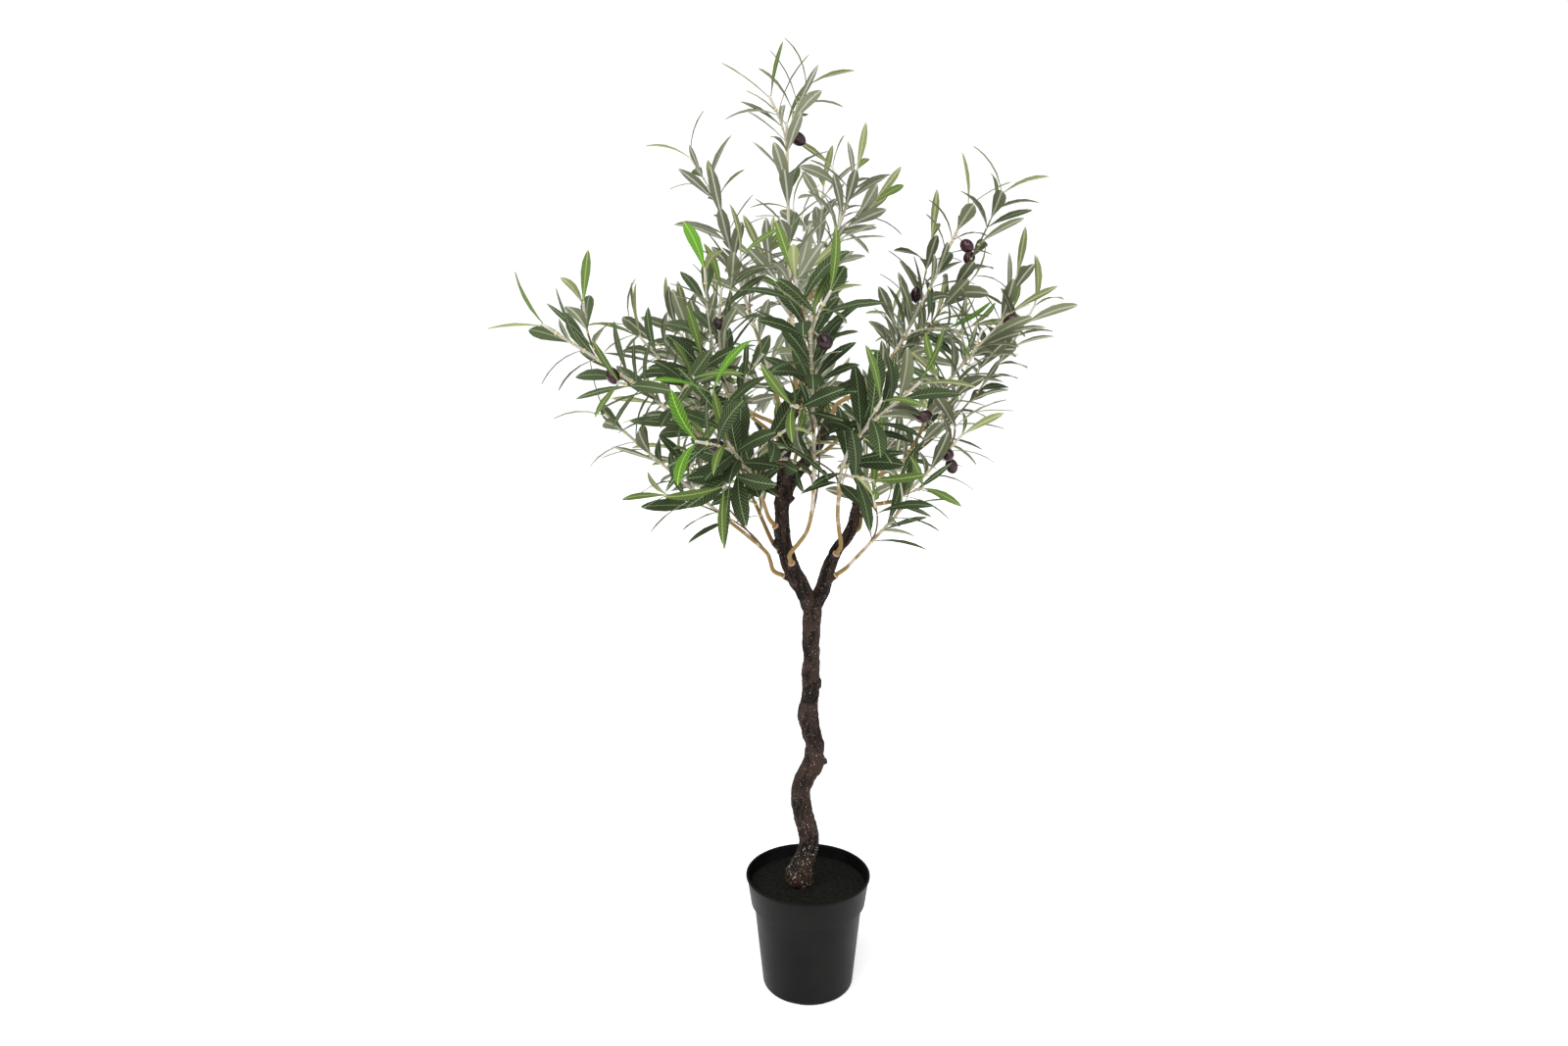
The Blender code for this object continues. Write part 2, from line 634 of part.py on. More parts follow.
def three_sided_profile():
    """A triangle of radius one, the section of a stem or twig."""
    curve = bpy.data.curves.new("profile", "CURVE")
    curve.dimensions = "2D"
    spline = curve.splines.new("POLY")
    spline.points.add(2)
    for corner, spot in enumerate(spline.points):
        angle = 2 * math.pi * corner / 3
        spot.co = (math.cos(angle), math.sin(angle), 0, 1)
    spline.use_cyclic_u = True
    return curve


def leaf_solid(leaf, collection):
    """A thin leaf: an edge sunk in the twig, a flat upper side, a keel below and a pointed tip."""
    root, normal, side = leaf_line(leaf, 0.0)
    points = [root + normal * NECK_HALF, root - normal * NECK_HALF]
    middle, normal, side = leaf_line(leaf, WIDEST)
    half = leaf["width"] / 2
    points += [middle + side * half, middle - side * half,
               middle - normal * leaf["length"] * LEAF_THICKNESS, leaf_line(leaf, 1.0)[0]]
    faces = [[0, 2, 3], [0, 1, 2], [0, 3, 1], [1, 4, 2], [1, 3, 4],
             [5, 3, 2], [5, 4, 3], [5, 2, 4]]
    mesh = bpy.data.meshes.new("leaf")
    mesh.from_pydata([tuple(point) for point in points], [], faces)
    return mesh_object("leaf", mesh, collection, "leaf_cloth")


def olive_solid(path, collection):
    """An olive at the end of its stalk: a small sphere drawn out along the stalk."""
    work = bmesh.new()
    bmesh.ops.create_uvsphere(work, u_segments=6, v_segments=4, radius=1)
    stretch = Matrix.Diagonal((OLIVE_RADIUS, OLIVE_RADIUS, OLIVE_LENGTH / 2, 1))
    turn = Vector(path[-1] - path[-2]).to_track_quat("Z", "Y").to_matrix().to_4x4()
    bmesh.ops.transform(work, matrix=Matrix.Translation(path[-1]) @ turn @ stretch,
                        verts=work.verts)
    mesh = bpy.data.meshes.new("olive")
    work.to_mesh(mesh)
    work.free()
    return mesh_object("olive", mesh, collection, "olive_plastic")


def fuse(name, body, pieces, collection):
    """One Boolean union of a body with a collection of pieces, applied, and the pieces removed."""
    union = body.modifiers.new("union", "BOOLEAN")
    union.operation = "UNION"
    union.operand_type = "COLLECTION"
    union.collection = pieces
    union.solver = "MANIFOLD"
    bpy.context.view_layer.update()
    mesh = bpy.data.meshes.new_from_object(body.evaluated_get(
        bpy.context.evaluated_depsgraph_get()))
    for thing in list(pieces.objects):
        bpy.data.objects.remove(thing)
    bpy.data.collections.remove(pieces)
    bpy.data.objects.remove(body)
    keep_main_body(mesh)
    mesh.name = name
    whole = bpy.data.objects.new(name, mesh)
    collection.objects.link(whole)
    return whole


def keep_main_body(mesh):
    """Keep a mesh's largest body, so that a loose scrap or a sealed hollow goes."""
    work = bmesh.new()
    work.from_mesh(mesh)
    bmesh.ops.triangulate(work, faces=work.faces)
    bmesh.ops.dissolve_degenerate(work, edges=work.edges, dist=WELD / 2)
    left = set(work.verts)
    bodies = []
    while left:
        queue = [left.pop()]
        body = set(queue)
        while queue:
            for edge in queue.pop().link_edges:
                for vert in edge.verts:
                    if vert in left:
                        left.remove(vert)
                        body.add(vert)
                        queue.append(vert)
        bodies.append(body)
    largest = max(bodies, key=len)
    loose = [vert for body in bodies if body is not largest for vert in body]
    bmesh.ops.delete(work, geom=loose, context="VERTS")
    work.to_mesh(mesh)
    work.free()


def new_pieces(name):
    """A collection that holds the pieces of one union."""
    pieces = bpy.data.collections.new(name + "_pieces")
    bpy.context.scene.collection.children.link(pieces)
    return pieces


def smooth_rounds(thing, degrees):
    """Shade an object smooth, with its sharp edges kept."""
    thing.data.shade_smooth()
    thing.data.set_sharp_from_angle(angle=math.radians(degrees))


def turned(name, profile, collection, material):
    """A solid of revolution: a profile in the XZ plane with a Screw modifier."""
    mesh = bpy.data.meshes.new(name)
    mesh.from_pydata([(radius, 0, height) for radius, height in profile],
                     [(spot, spot + 1) for spot in range(len(profile) - 1)], [])
    thing = mesh_object(name, mesh, collection, material)
    screw = thing.modifiers.new("turn", "SCREW")
    screw.steps = POT_SIDES
    screw.render_steps = POT_SIDES
    screw.use_merge_vertices = True
    screw.merge_threshold = WELD
    return thing


# Pot and fill

def wall_line(inset):
    """The pot's side as (radius, height) from band top to body foot, moved inwards by the inset."""
    step = POT_HEIGHT - BAND_HEIGHT
    return [(BAND_TOP_RADIUS - inset, POT_HEIGHT - LIP_HEIGHT),
            (BAND_FOOT_RADIUS - inset, step),
            (BODY_TOP_RADIUS - inset, step - mm(1.2)),
            (BODY_FOOT_RADIUS - inset, FOOT_ROUND)]


def build_pot(collection, cutters):
    """The pot: floor, inner side, lip, band, body and rounded foot, with drain notches cut in."""
    inside = [(0, POT_FLOOR), (BODY_FOOT_RADIUS - POT_WALL, POT_FLOOR)]
    inside += reversed(wall_line(POT_WALL)[:3])
    lip = [(RIM_RADIUS - mm(0.6) - POT_WALL, POT_HEIGHT), (RIM_RADIUS - mm(0.6), POT_HEIGHT),
           (RIM_RADIUS, POT_HEIGHT - mm(0.8)), (RIM_RADIUS, POT_HEIGHT - LIP_HEIGHT)]
    foot = [(BODY_FOOT_RADIUS - FOOT_ROUND * (1 - math.cos(angle)),
             FOOT_ROUND * (1 - math.sin(angle)))
            for angle in (math.radians(45), math.radians(90))]
    profile = inside + lip + wall_line(0) + foot + [(0, 0)]
    pot = turned("pot", profile, collection, "pot_plastic")
    notch = bpy.data.collections.new("drain_notches")
    cutters.children.link(notch)
    for number in range(DRAIN_COUNT):
        angle = DRAIN_TURN + 2 * math.pi * number / DRAIN_COUNT
        bpy.ops.mesh.primitive_cube_add(size=1)
        box = link(bpy.context.object, notch)
        box.name = f"drain_notch_{number}"
        box.scale = (DRAIN_DEPTH * 2, DRAIN_WIDTH, DRAIN_HEIGHT * 2)
        box.rotation_euler = (0, 0, angle)
        box.location = (BODY_FOOT_RADIUS * math.cos(angle), BODY_FOOT_RADIUS * math.sin(angle), 0)
        box.hide_render = True
        box.display_type = "WIRE"
    cut = pot.modifiers.new("drains", "BOOLEAN")
    cut.operation = "DIFFERENCE"
    cut.operand_type = "COLLECTION"
    cut.collection = notch
    smooth_rounds(pot, 30)
    return pot


def build_fill(collection):
    """The potting fill: a plug that follows the pot's inner side, a gap clear of it."""
    inset = POT_WALL + GAP
    side = wall_line(inset)[1:3]
    top_radius = np.interp(FILL_TOP, [side[0][1], POT_HEIGHT - LIP_HEIGHT],
                           [BAND_FOOT_RADIUS - inset, BAND_TOP_RADIUS - inset])
    step = (side[1][0], side[1][1] + GAP)
    profile = [(0, FILL_TOP), (float(top_radius), FILL_TOP), (side[0][0], side[0][1] + GAP), step,
               (BODY_FOOT_RADIUS - inset, POT_FLOOR + GAP), (0, POT_FLOOR + GAP)]
    return turned("potting_fill", profile, collection, "fill")


# Trunk and boughs

def build_trunk(limb, seats, collection):
    """The trunk with its root ridges, its knots and the two seats that the boughs stand on."""
    path, radii = limb
    pieces = new_pieces("trunk")
    for name in ("leader", "right_bough"):
        tube(name + "_seat", *seats[name], LIMB_SIDES, pieces, "bark")
    for number in range(ROOT_RIDGES):
        angle = 2 * math.pi * (number + 0.3) / ROOT_RIDGES
        spread = np.array([math.cos(angle), math.sin(angle), 0])
        foot = path[0] + spread * RIDGE_REACH
        head = path[0] + np.array([0, 0, RIDGE_HEIGHT])
        tube("root_ridge", np.array([head, foot - np.array([0, 0, RIDGE_RADIUS])]),
             (RIDGE_RADIUS * 0.8, RIDGE_RADIUS), 8, pieces, "bark")
    add_knots("trunk", limb, pieces)
    body = tube("trunk", path, radii, LIMB_SIDES, collection, "bark")
    trunk = fuse("trunk", body, pieces, collection)
    level_foot(trunk, path[0, 2])
    smooth_rounds(trunk, 40)
    return trunk


def level_foot(thing, height):
    """Cut a solid off flat at a height, keeping what is above."""
    work = bmesh.new()
    work.from_mesh(thing.data)
    cut = bmesh.ops.bisect_plane(work, geom=work.verts[:] + work.edges[:] + work.faces[:],
                                 dist=WELD / 10, plane_co=(0, 0, height), plane_no=(0, 0, 1),
                                 clear_inner=True)
    rim = [part for part in cut["geom_cut"] if isinstance(part, bmesh.types.BMEdge)]
    bmesh.ops.edgenet_fill(work, edges=rim)
    bmesh.ops.remove_doubles(work, verts=work.verts, dist=WELD)
    face_outwards(work)
    work.to_mesh(thing.data)
    work.free()


def add_knots(name, limb, pieces):
    """The short cut stubs and swellings on one limb, from the list of knots."""
    path, radii = limb
    for knot in KNOTS:
        if knot["limb"] != name:
            continue
        height = mm(knot["height"])
        foot = read_off(height, path[:, 2], path)
        out = unit(np.array(knot["out"], dtype=float))
        reach = float(np.interp(height, path[:, 2], radii)) + mm(knot["stand"])
        ends = (mm(knot["radius"]) * knot["flare"], mm(knot["radius"]))
        tube("knot", np.array([foot, foot + out * reach]), ends, 8, pieces, "bark")


def build_bough(name, limb, seats, sockets, collection):
    """A bough with the sockets of the sprays it carries, its knots and its own bough's seat."""
    path, radii = limb
    pieces = new_pieces(name)
    for spray in SPRAYS:
        if spray["limb"] == name:
            foot, end, out = sockets[spray["name"]]
            tube("socket", np.array([foot, end]), (SOCKET_RADIUS, SOCKET_RADIUS), 8, pieces,
                 "bark")
    if name == "leader":
        tube("inner_seat", *seats["inner_bough"], LIMB_SIDES, pieces, "bark")
    add_knots(name, limb, pieces)
    body = tube(name, path, radii, LIMB_SIDES, collection, "bark")
    bough = fuse(name, body, pieces, collection)
    smooth_rounds(bough, 40)
    return bough


# Foliage

def build_spray(name, twigs, leaves, collection):
    """One foliage spray: its stem, twigs, leaves and olives, fused into one solid."""
    pieces = new_pieces(name)
    for path, radii, kind in twigs[1:]:
        tube(kind, path, radii, TWIG_SIDES, pieces, "stem_plastic")
        if kind == "stalk":
            olive_solid(path, pieces)
    for leaf in leaves:
        leaf_solid(leaf, pieces)
    stem_path, stem_radii, kind = twigs[0]
    body = tube(name, stem_path, stem_radii, TWIG_SIDES, collection, "stem_plastic")
    return fuse(name, body, pieces, collection)


def build():
    """The whole tree, in a collection named for it."""
    clear_scene()
    tree = bpy.data.collections.new("potted_olive_tree")
    cutters = bpy.data.collections.new("cutters")
    for collection in (tree, cutters):
        bpy.context.scene.collection.children.link(collection)
    limbs, seats, sockets, twigs, leaves = plan_tree()
    build_pot(tree, cutters)
    build_fill(tree)
    build_trunk(limbs["trunk"], seats, tree)
    for name in ("leader", "right_bough", "inner_bough"):
        build_bough(name, limbs[name], seats, sockets, tree)
    for spray in SPRAYS:
        name = spray["name"]
        build_spray(name, twigs[name], leaves[name], tree)
    count = sum(len(kept) for kept in leaves.values())
    print(f"potted olive tree: {len(tree.objects)} solids, {count} leaves")


if __name__ == "__main__":
    build()
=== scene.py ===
# Looks of an artificial potted olive tree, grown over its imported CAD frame.
# Metres, +Z up, the front is -Y. Sizes in the dictionaries are millimetres, and mm() makes them metres.

import math
import random

import bpy
import numpy as np
from mathutils.bvhtree import BVHTree
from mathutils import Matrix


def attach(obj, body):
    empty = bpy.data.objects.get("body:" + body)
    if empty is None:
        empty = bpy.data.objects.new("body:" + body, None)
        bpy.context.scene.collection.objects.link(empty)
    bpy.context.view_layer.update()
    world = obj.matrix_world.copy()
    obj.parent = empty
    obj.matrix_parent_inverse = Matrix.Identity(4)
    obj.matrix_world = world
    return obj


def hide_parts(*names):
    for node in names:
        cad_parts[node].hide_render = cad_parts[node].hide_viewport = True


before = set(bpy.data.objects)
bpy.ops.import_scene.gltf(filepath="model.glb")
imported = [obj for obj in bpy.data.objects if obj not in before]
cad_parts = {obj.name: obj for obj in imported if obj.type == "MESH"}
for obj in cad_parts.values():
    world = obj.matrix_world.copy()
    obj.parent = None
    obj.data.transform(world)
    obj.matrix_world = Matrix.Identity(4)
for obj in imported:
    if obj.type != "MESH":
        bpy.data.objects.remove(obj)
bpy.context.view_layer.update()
print("frame loaded:", len(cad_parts), "CAD nodes")

up = np.array([0.0, 0.0, 1.0])
sideways = np.array([1.0, 0.0, 0.0])
fullTurn = 2 * math.pi


# Millimetres to metres: value times a thousandth.
def mm(value):
    return np.asarray(value, dtype=float) * 0.001


# Each vector over its own length.
def unit(vectors):
    return vectors / np.linalg.norm(vectors, axis=-1, keepdims=True)


# A unit vector square to the given one: its cross product with up, or with sideways where it stands.
def across(vector):
    return unit(np.cross(vector, up if abs(vector[2]) < 0.9 else sideways))


# The vector square to the grain at an angle about it: cos(turn) first + sin(turn) second.
def turnedSide(grain, turn):
    first = across(grain)
    return first * math.cos(turn) + np.cross(grain, first) * math.sin(turn)


# Points on the smooth curve through a path at fractional indices: a cubic between two points whose
# end slopes are parallel to the lines between each point's neighbours and as long as the chord.
def curveAt(path, position):
    padded = np.vstack([2 * path[0] - path[1], path, 2 * path[-1] - path[-2]])
    index = np.clip(np.floor(position).astype(int), 0, len(path) - 2)
    t = (position - index)[:, None]
    before, start, end, after = (padded[index + step] for step in range(4))
    chord = np.linalg.norm(end - start, axis=1)[:, None]
    leave, arrive = unit(end - before) * chord, unit(after - start) * chord
    return ((2 * t ** 3 - 3 * t ** 2 + 1) * start + (t ** 3 - 2 * t ** 2 + t) * leave
            + (3 * t ** 2 - 2 * t ** 3) * end + (t ** 3 - t ** 2) * arrive)


# A smooth curve through named places, each stretch cut into equal parts about one step long.
def smoothPath(places, step):
    places = np.asarray(places, dtype=float)
    counts = np.maximum(2, np.round(np.linalg.norm(np.diff(places, axis=0), axis=1) / step))
    position = np.concatenate([first + np.arange(int(count)) / count
                               for first, count in enumerate(counts)] + [[len(places) - 1.0]])
    return curveAt(places, position)


# Unit slopes of a path: central differences over their lengths.
def tangents(path):
    return unit(np.gradient(path, axis=0))


# Running length of a path: the sum of its chords up to each point.
def lengthsAlong(path):
    return np.concatenate([[0], np.cumsum(np.linalg.norm(np.diff(path, axis=0), axis=1))])


# The point of a path where its scale, a height or a length, has a value: linear in between.
def readOff(place, scale, points):
    return np.array([np.interp(place, scale, points[:, axis]) for axis in range(3)])


# Radii falling evenly from the first to the second along a path.
def taper(path, radii):
    return np.linspace(radii[0], radii[1], len(path))


# The trunk's places and its boughs', the same as in the part's source, millimetres.
limbPlan = dict(
    trunk=[(-8, 0, 129.8), (-9, -2, 152), (1, 0, 188), (-10, 4, 248), (8, -3, 304), (0, -2, 353),
           (3, 3, 396), (3, 1, 441), (5, 0, 497)],
    trunkRadii=(12.4, 11.2), flare=(3, 146, 16), waist=(1.4, 436, 40), step=17, gap=0.3,
    leader=[(4, 0, 491), (-9, 0, 517), (-25, -1, 551), (-33, -2, 586), (-33, 0, 646),
            (-30, 4, 690), (-20, 8, 745)],
    leaderRadii=(10.6, 7.0), leaderReach=26,
    rightBough=[(4, 0, 491), (17, 0, 515), (23, 0, 537), (34, 0, 564), (53, 1, 590), (61, 4, 631)],
    rightBoughRadii=(9.6, 5.6), rightBoughReach=26,
    innerBough=[(-33, 0, 625), (-18, 24, 654), (12, 44, 694), (30, 50, 732)],
    innerBoughRadii=(7.6, 6.2), innerBoughReach=22,
)
limbNode = dict(trunk="trunk", leader="leader", rightBough="right_bough", innerBough="inner_bough")


# The trunk's radius: an even taper, plus a bell at the foot, less a bell at the slim waist.
def trunkLimb():
    path = smoothPath(mm(limbPlan["trunk"]), mm(limbPlan["step"]))
    radii = taper(path, mm(limbPlan["trunkRadii"]))
    for sign, (depth, height, spread) in ((1, limbPlan["flare"]), (-1, limbPlan["waist"])):
        radii += sign * mm(depth) * np.exp(-((path[:, 2] - mm(height)) / mm(spread)) ** 2)
    return path, radii


# A bough from where it is parted from its seat: half-way down the stretch that holds the reach.
def boughLimb(name):
    path = smoothPath(mm(limbPlan[name]), mm(limbPlan["step"]))
    radii = taper(path, mm(limbPlan[name + "Radii"]))
    lengths = lengthsAlong(path)
    split = int(np.searchsorted(lengths, mm(limbPlan[name + "Reach"])))
    middle = (lengths[split - 1] + lengths[split]) / 2
    radius = np.interp(middle, lengths, radii)
    return (np.vstack([readOff(middle + mm(limbPlan["gap"]), lengths, path), path[split:]]),
            np.append([radius], radii[split:]))


socket = dict(lean=math.radians(40), stand=3, radius=4.4)


# Where a spray plugs in: the foot on the limb's middle, the end just outside its bark, and the way out.
def socketOf(limb, spray):
    path, radii = limb
    height = min(mm(spray["height"]), path[-1, 2])
    foot = readOff(height, path[:, 2], path)
    radius = np.interp(height, path[:, 2], radii)
    grain = tangents(path)[int(np.argmin(abs(path[:, 2] - height)))]
    if spray["side"] == (0, 0):
        return foot - grain * radius, foot + grain * mm(socket["stand"]), grain
    side = np.array([*spray["side"], 0.0])
    side = unit(side - grain * side.dot(grain))
    out = side * math.sin(socket["lean"]) + grain * math.cos(socket["lean"])
    return foot, foot + out * (radius + mm(socket["stand"])) / math.sin(socket["lean"]), out


# The seeded rule, the same as in the part's source. The last two lines carry it finer.
growth = dict(
    stemRadii=(3.6, 2.5), twigRadii=(2.1, 1.8), stalkRadius=1.4, stemStep=36, stemStart=14,
    twigBend=0.4, twigZone=(0.45, 0.9), twigForward=0.75, twigRise=0.15, twigLength=(60, 95),
    twigRoom=3.5, goldenAngle=math.radians(137.5), forkAngle=math.radians(33),
    nodePitch=(24, 33), nodeTurn=math.pi / 2, stemNodes=4, twigNodes=2, endSink=4, bareShare=0.2,
    twigsASeed=100, leafLength=(66, 90), leafWidth=(16, 21), slimWidth=10.5, slimShare=0.3,
    tipLength=(58, 68), tipWidth=10, leafTilt=math.radians(40), tipTilt=math.radians(27),
    tiltSpread=math.radians(10), turnSpread=math.radians(25), leafDroop=math.radians(34),
    leafClear=1.1, feelerRings=((0.16, 0.75), (0.4, 1.0), (0.75, 0.9), (1.02, 0.2)),
    leafThickness=0.018, leafTries=[math.radians(angle) for angle in (0, 35, -35, 70, -70)],
    twigClear=0.8, oliveRadius=7.6, oliveLength=20,
    finePitch=(17, 25), fineRoom=9, fineSeed=50, lowestTip=566,
)

# One row for each spray, as in the part's source: where its stem leaves, passes and ends, the ends
# of its long twigs, how many short ones the seed places, and the olives' middles, millimetres.
sprays = [
    dict(name="spray_low_left", limb="leader", height=524, side=(-1, 0.2), seed=267, twigs=1,
         via=[(-52, -6, 562), (-101, -30, 607)], tip=(-242, -50, 732),
         forks=[(-164, 20, 690), (-168, -80, 640)]),
    dict(name="spray_front_left", limb="leader", height=583, side=(-0.7, -0.8), seed=39, twigs=1,
         via=[(-60, -90, 647)], tip=(-88, -200, 701),
         forks=[(-102, -220, 751), (-116, -235, 701), (-24, -200, 716), (-92, -205, 655)],
         olives=[(-100, -185, 696)]),
    dict(name="spray_front", limb="leader", height=536, side=(0.3, -1), seed=37, twigs=1,
         via=[(-4, -52, 594), (2, -112, 652)], tip=(-6, -236, 820),
         forks=[(-21, -250, 853), (12, -262, 838), (-24, -240, 735)],
         olives=[(7, -250, 794)]),
    dict(name="spray_front_right", limb="rightBough", height=551, side=(0.1, -1), seed=561,
         twigs=1, via=[(32, -60, 614), (39, -180, 697)], tip=(105, -200, 760),
         forks=[(62, -240, 740), (60, -190, 661)]),
    dict(name="spray_low_right", limb="rightBough", height=524, side=(1, -0.3), seed=212, twigs=1,
         via=[(52, -30, 555), (88, -60, 600)], tip=(110, -70, 627),
         forks=[(70, -90, 640)]),
    dict(name="spray_crown", limb="leader", height=745, side=(0, 0), seed=310, twigs=1,
         via=[(-18, -2, 790), (-24, -12, 896)], tip=(-28, -30, 1068),
         forks=[(-48, -50, 1090), (-4, -40, 1107), (-56, 40, 929)],
         olives=[(-15, -28, 1050)]),
    dict(name="spray_tall_back", limb="leader", height=726, side=(0.6, 0.8), seed=462, twigs=1,
         via=[(-4, 40, 860), (38, 70, 969)], tip=(64, 80, 1050),
         forks=[(85, 55, 1003), (32, 110, 1062)]),
    dict(name="spray_upper_right", limb="innerBough", height=732, side=(0, 0), seed=331, twigs=1,
         via=[(80, 50, 772), (130, 30, 850)], tip=(192, 0, 984),
         forks=[(231, -4, 998), (157, 60, 958), (195, 26, 890)],
         olives=[(188, -8, 933), (199, 30, 927), (136, 44, 884)]),
    dict(name="spray_right", limb="rightBough", height=631, side=(0, 0), seed=18, twigs=1,
         via=[(114, 0, 674), (165, 0, 766)], tip=(252, 20, 862),
         forks=[(280, 20, 869), (260, 32, 907), (200, -45, 830)],
         olives=[(244, -2, 846), (123, -30, 733)]),
    dict(name="spray_right_low", limb="rightBough", height=603, side=(0.9, -0.4), seed=25,
         twigs=1, via=[(104, -30, 630), (140, -50, 666)], tip=(180, -50, 710),
         forks=[(128, -88, 648)],
         olives=[(160, -58, 685), (168, -42, 671), (133, -52, 729)]),
    dict(name="spray_far_left", limb="leader", height=631, side=(-1, -0.2), seed=87, twigs=1,
         via=[(-98, -30, 681), (-190, -110, 760)], tip=(-276, -180, 819),
         forks=[(-236, -171, 843), (-203, -165, 762)],
         olives=[(-213, -140, 770)]),
    dict(name="spray_left", limb="leader", height=663, side=(-1, 0), seed=22, twigs=1,
         via=[(-92, 0, 718), (-156, -48, 774)], tip=(-196, -70, 820),
         forks=[(-147, 0, 840), (-120, -110, 791)]),
    dict(name="spray_left_centre", limb="leader", height=696, side=(-0.9, -0.4), seed=117, twigs=1,
         via=[(-76, -22, 739), (-103, -60, 796)], tip=(-100, -100, 868),
         forks=[(-117, -110, 888), (-78, -90, 907)],
         olives=[(-104, -78, 833)]),
    dict(name="spray_upper_left", limb="leader", height=706, side=(-0.5, 0.9), seed=491, twigs=1,
         via=[(-48, 44, 785), (-86, 80, 898)], tip=(-120, 100, 1018),
         forks=[(-155, 100, 1071), (-60, 70, 936)]),
    dict(name="spray_top_back", limb="innerBough", height=707, side=(-0.2, 1), seed=4, twigs=2,
         via=[(10, 120, 809), (14, 170, 918)], tip=(26, 215, 1066),
         forks=[(-20, 190, 1027), (70, 200, 1017)]),
    dict(name="spray_back_left", limb="leader", height=681, side=(-0.5, 0.9), seed=402, twigs=1,
         via=[(-92, 100, 749)], tip=(-195, 180, 872),
         forks=[(-243, 130, 860), (-130, 200, 892)],
         olives=[(-169, 175, 830)]),
    dict(name="spray_back_right", limb="innerBough", height=681, side=(0.6, 0.8), seed=128, twigs=1,
         via=[(92, 130, 749)], tip=(187, 190, 878),
         forks=[(231, 150, 860), (129, 240, 887)],
         olives=[(159, 190, 826)]),
    dict(name="spray_back", limb="leader", height=603, side=(0.2, 1), seed=510, twigs=1,
         via=[(-10, 120, 709)], tip=(-16, 262, 825),
         forks=[(40, 262, 788), (-84, 270, 788)],
         olives=[(-4, 236, 780)]),
    dict(name="spray_back_low_right", limb="rightBough", height=579, side=(0.5, 0.9), seed=114,
         twigs=1, via=[(76, 86, 650)], tip=(120, 176, 741),
         forks=[(168, 130, 752)]),
    dict(name="spray_back_low_left", limb="leader", height=551, side=(-0.6, 0.9), seed=353,
         twigs=1, via=[(-80, 76, 640)], tip=(-150, 172, 745),
         forks=[(-204, 104, 752)]),
]


# A coarse closed skin round a path for the overlap tests: a ring of a few corners at each point.
def cage(path, radii, sides=4):
    along = tangents(path)
    first = np.array([across(direction) for direction in along])
    second = np.cross(along, first)
    angle = fullTurn * np.arange(sides)[:, None, None] / sides
    rings = path + np.asarray(radii)[:, None] * (first * np.cos(angle) + second * np.sin(angle))
    return rings.transpose(1, 0, 2).reshape(-1, 3), ringFaces(len(path), sides)


# The faces of a stack of rings: quads between neighbours, and one cap on each end.
def ringFaces(rings, sides):
    ring, side = np.meshgrid(np.arange(rings - 1), np.arange(sides), indexing="ij")
    onward = (side + 1) % sides
    quads = np.stack([ring * sides + side, ring * sides + onward,
                      (ring + 1) * sides + onward, (ring + 1) * sides + side], axis=-1)
    ends = [list(range(sides)), list(range((rings - 1) * sides, rings * sides))]
    return quads.reshape(-1, 4).tolist() + ends


# One search tree over several cages: their points in a row, and their faces moved on to match.
def skinTree(skins):
    points, faces = [], []
    for cagePoints, cageFaces in skins:
        start = len(points)
        points += cagePoints.tolist()
        faces += [[corner + start for corner in face] for face in cageFaces]
    return BVHTree.FromPolygons(points, faces)


# A twig that leaves along its stem and bends to its end: a parabola over three corners.
def bentTwig(start, heading, end):
    reach = float(np.linalg.norm(end - start))
    corner = start + heading * growth["twigBend"] * reach
    t = np.linspace(0, 1, max(4, round(reach / mm(growth["stemStep"])) + 1))[:, None]
    return (1 - t) ** 2 * start + 2 * t * (1 - t) * corner + t ** 2 * end


# Where a fork leaves its stem: the point whose chord to the end is nearest to the fork angle.
def forkPoint(stem, end):
    cosine = (tangents(stem) * unit(end - stem)).sum(axis=1)
    angles = np.arccos(np.clip(cosine, -1, 1))
    first = len(stem) // 4
    return first + int(np.argmin(abs(angles[first:-1] - growth["forkAngle"])))


# The stem, long twigs, seeded twigs and olive stalks of one spray, each a path and a kind.
def growTwigs(spray, socketEnd, out, blocked):
    rng = random.Random(spray["seed"])
    foot = socketEnd + out * mm(limbPlan["gap"])
    places = [foot, foot + out * mm(growth["stemStart"]), *mm(spray["via"]), mm(spray["tip"])]
    stem = np.delete(smoothPath(places, mm(growth["stemStep"])), 1, axis=0)  # straight out
    along = tangents(stem)
    twigs = [(stem, taper(stem, mm(growth["stemRadii"])), "stem")]
    for fork in spray["forks"]:
        start = forkPoint(stem, mm(fork))
        path = bentTwig(stem[start], along[start], mm(fork))
        twigs.append((path, taper(path, mm(growth["twigRadii"])), "twig"))
    turn = rng.uniform(0, fullTurn)
    low, high = growth["twigZone"]
    for number in range(spray["twigs"]):
        zone = low + (high - low) * (number + rng.random()) / spray["twigs"]
        start = int(zone * (len(stem) - 1))
        turn += growth["goldenAngle"]
        heading = (growth["twigForward"] * along[start] + growth["twigRise"] * up
                   + turnedSide(along[start], turn))
        end = stem[start] + rng.uniform(*mm(growth["twigLength"])) * unit(heading)
        path = bentTwig(stem[start], along[start], end)
        if not blocked(cage(path[1:], np.full(len(path) - 1, mm(growth["twigRoom"])))):
            twigs.append((path, taper(path, mm(growth["twigRadii"])), "twig"))
    stalks = []
    for olive in mm(spray.get("olives", np.zeros((0, 3)))):
        near = min(twigs, key=lambda twig: np.linalg.norm(twig[0][1:-1] - olive, axis=1).min())
        start = 1 + int(np.argmin(np.linalg.norm(near[0][1:-1] - olive, axis=1)))
        path = np.array([near[0][start], olive])
        stalks.append((path, np.full(2, mm(growth["stalkRadius"])), "stalk"))
    return twigs + stalks


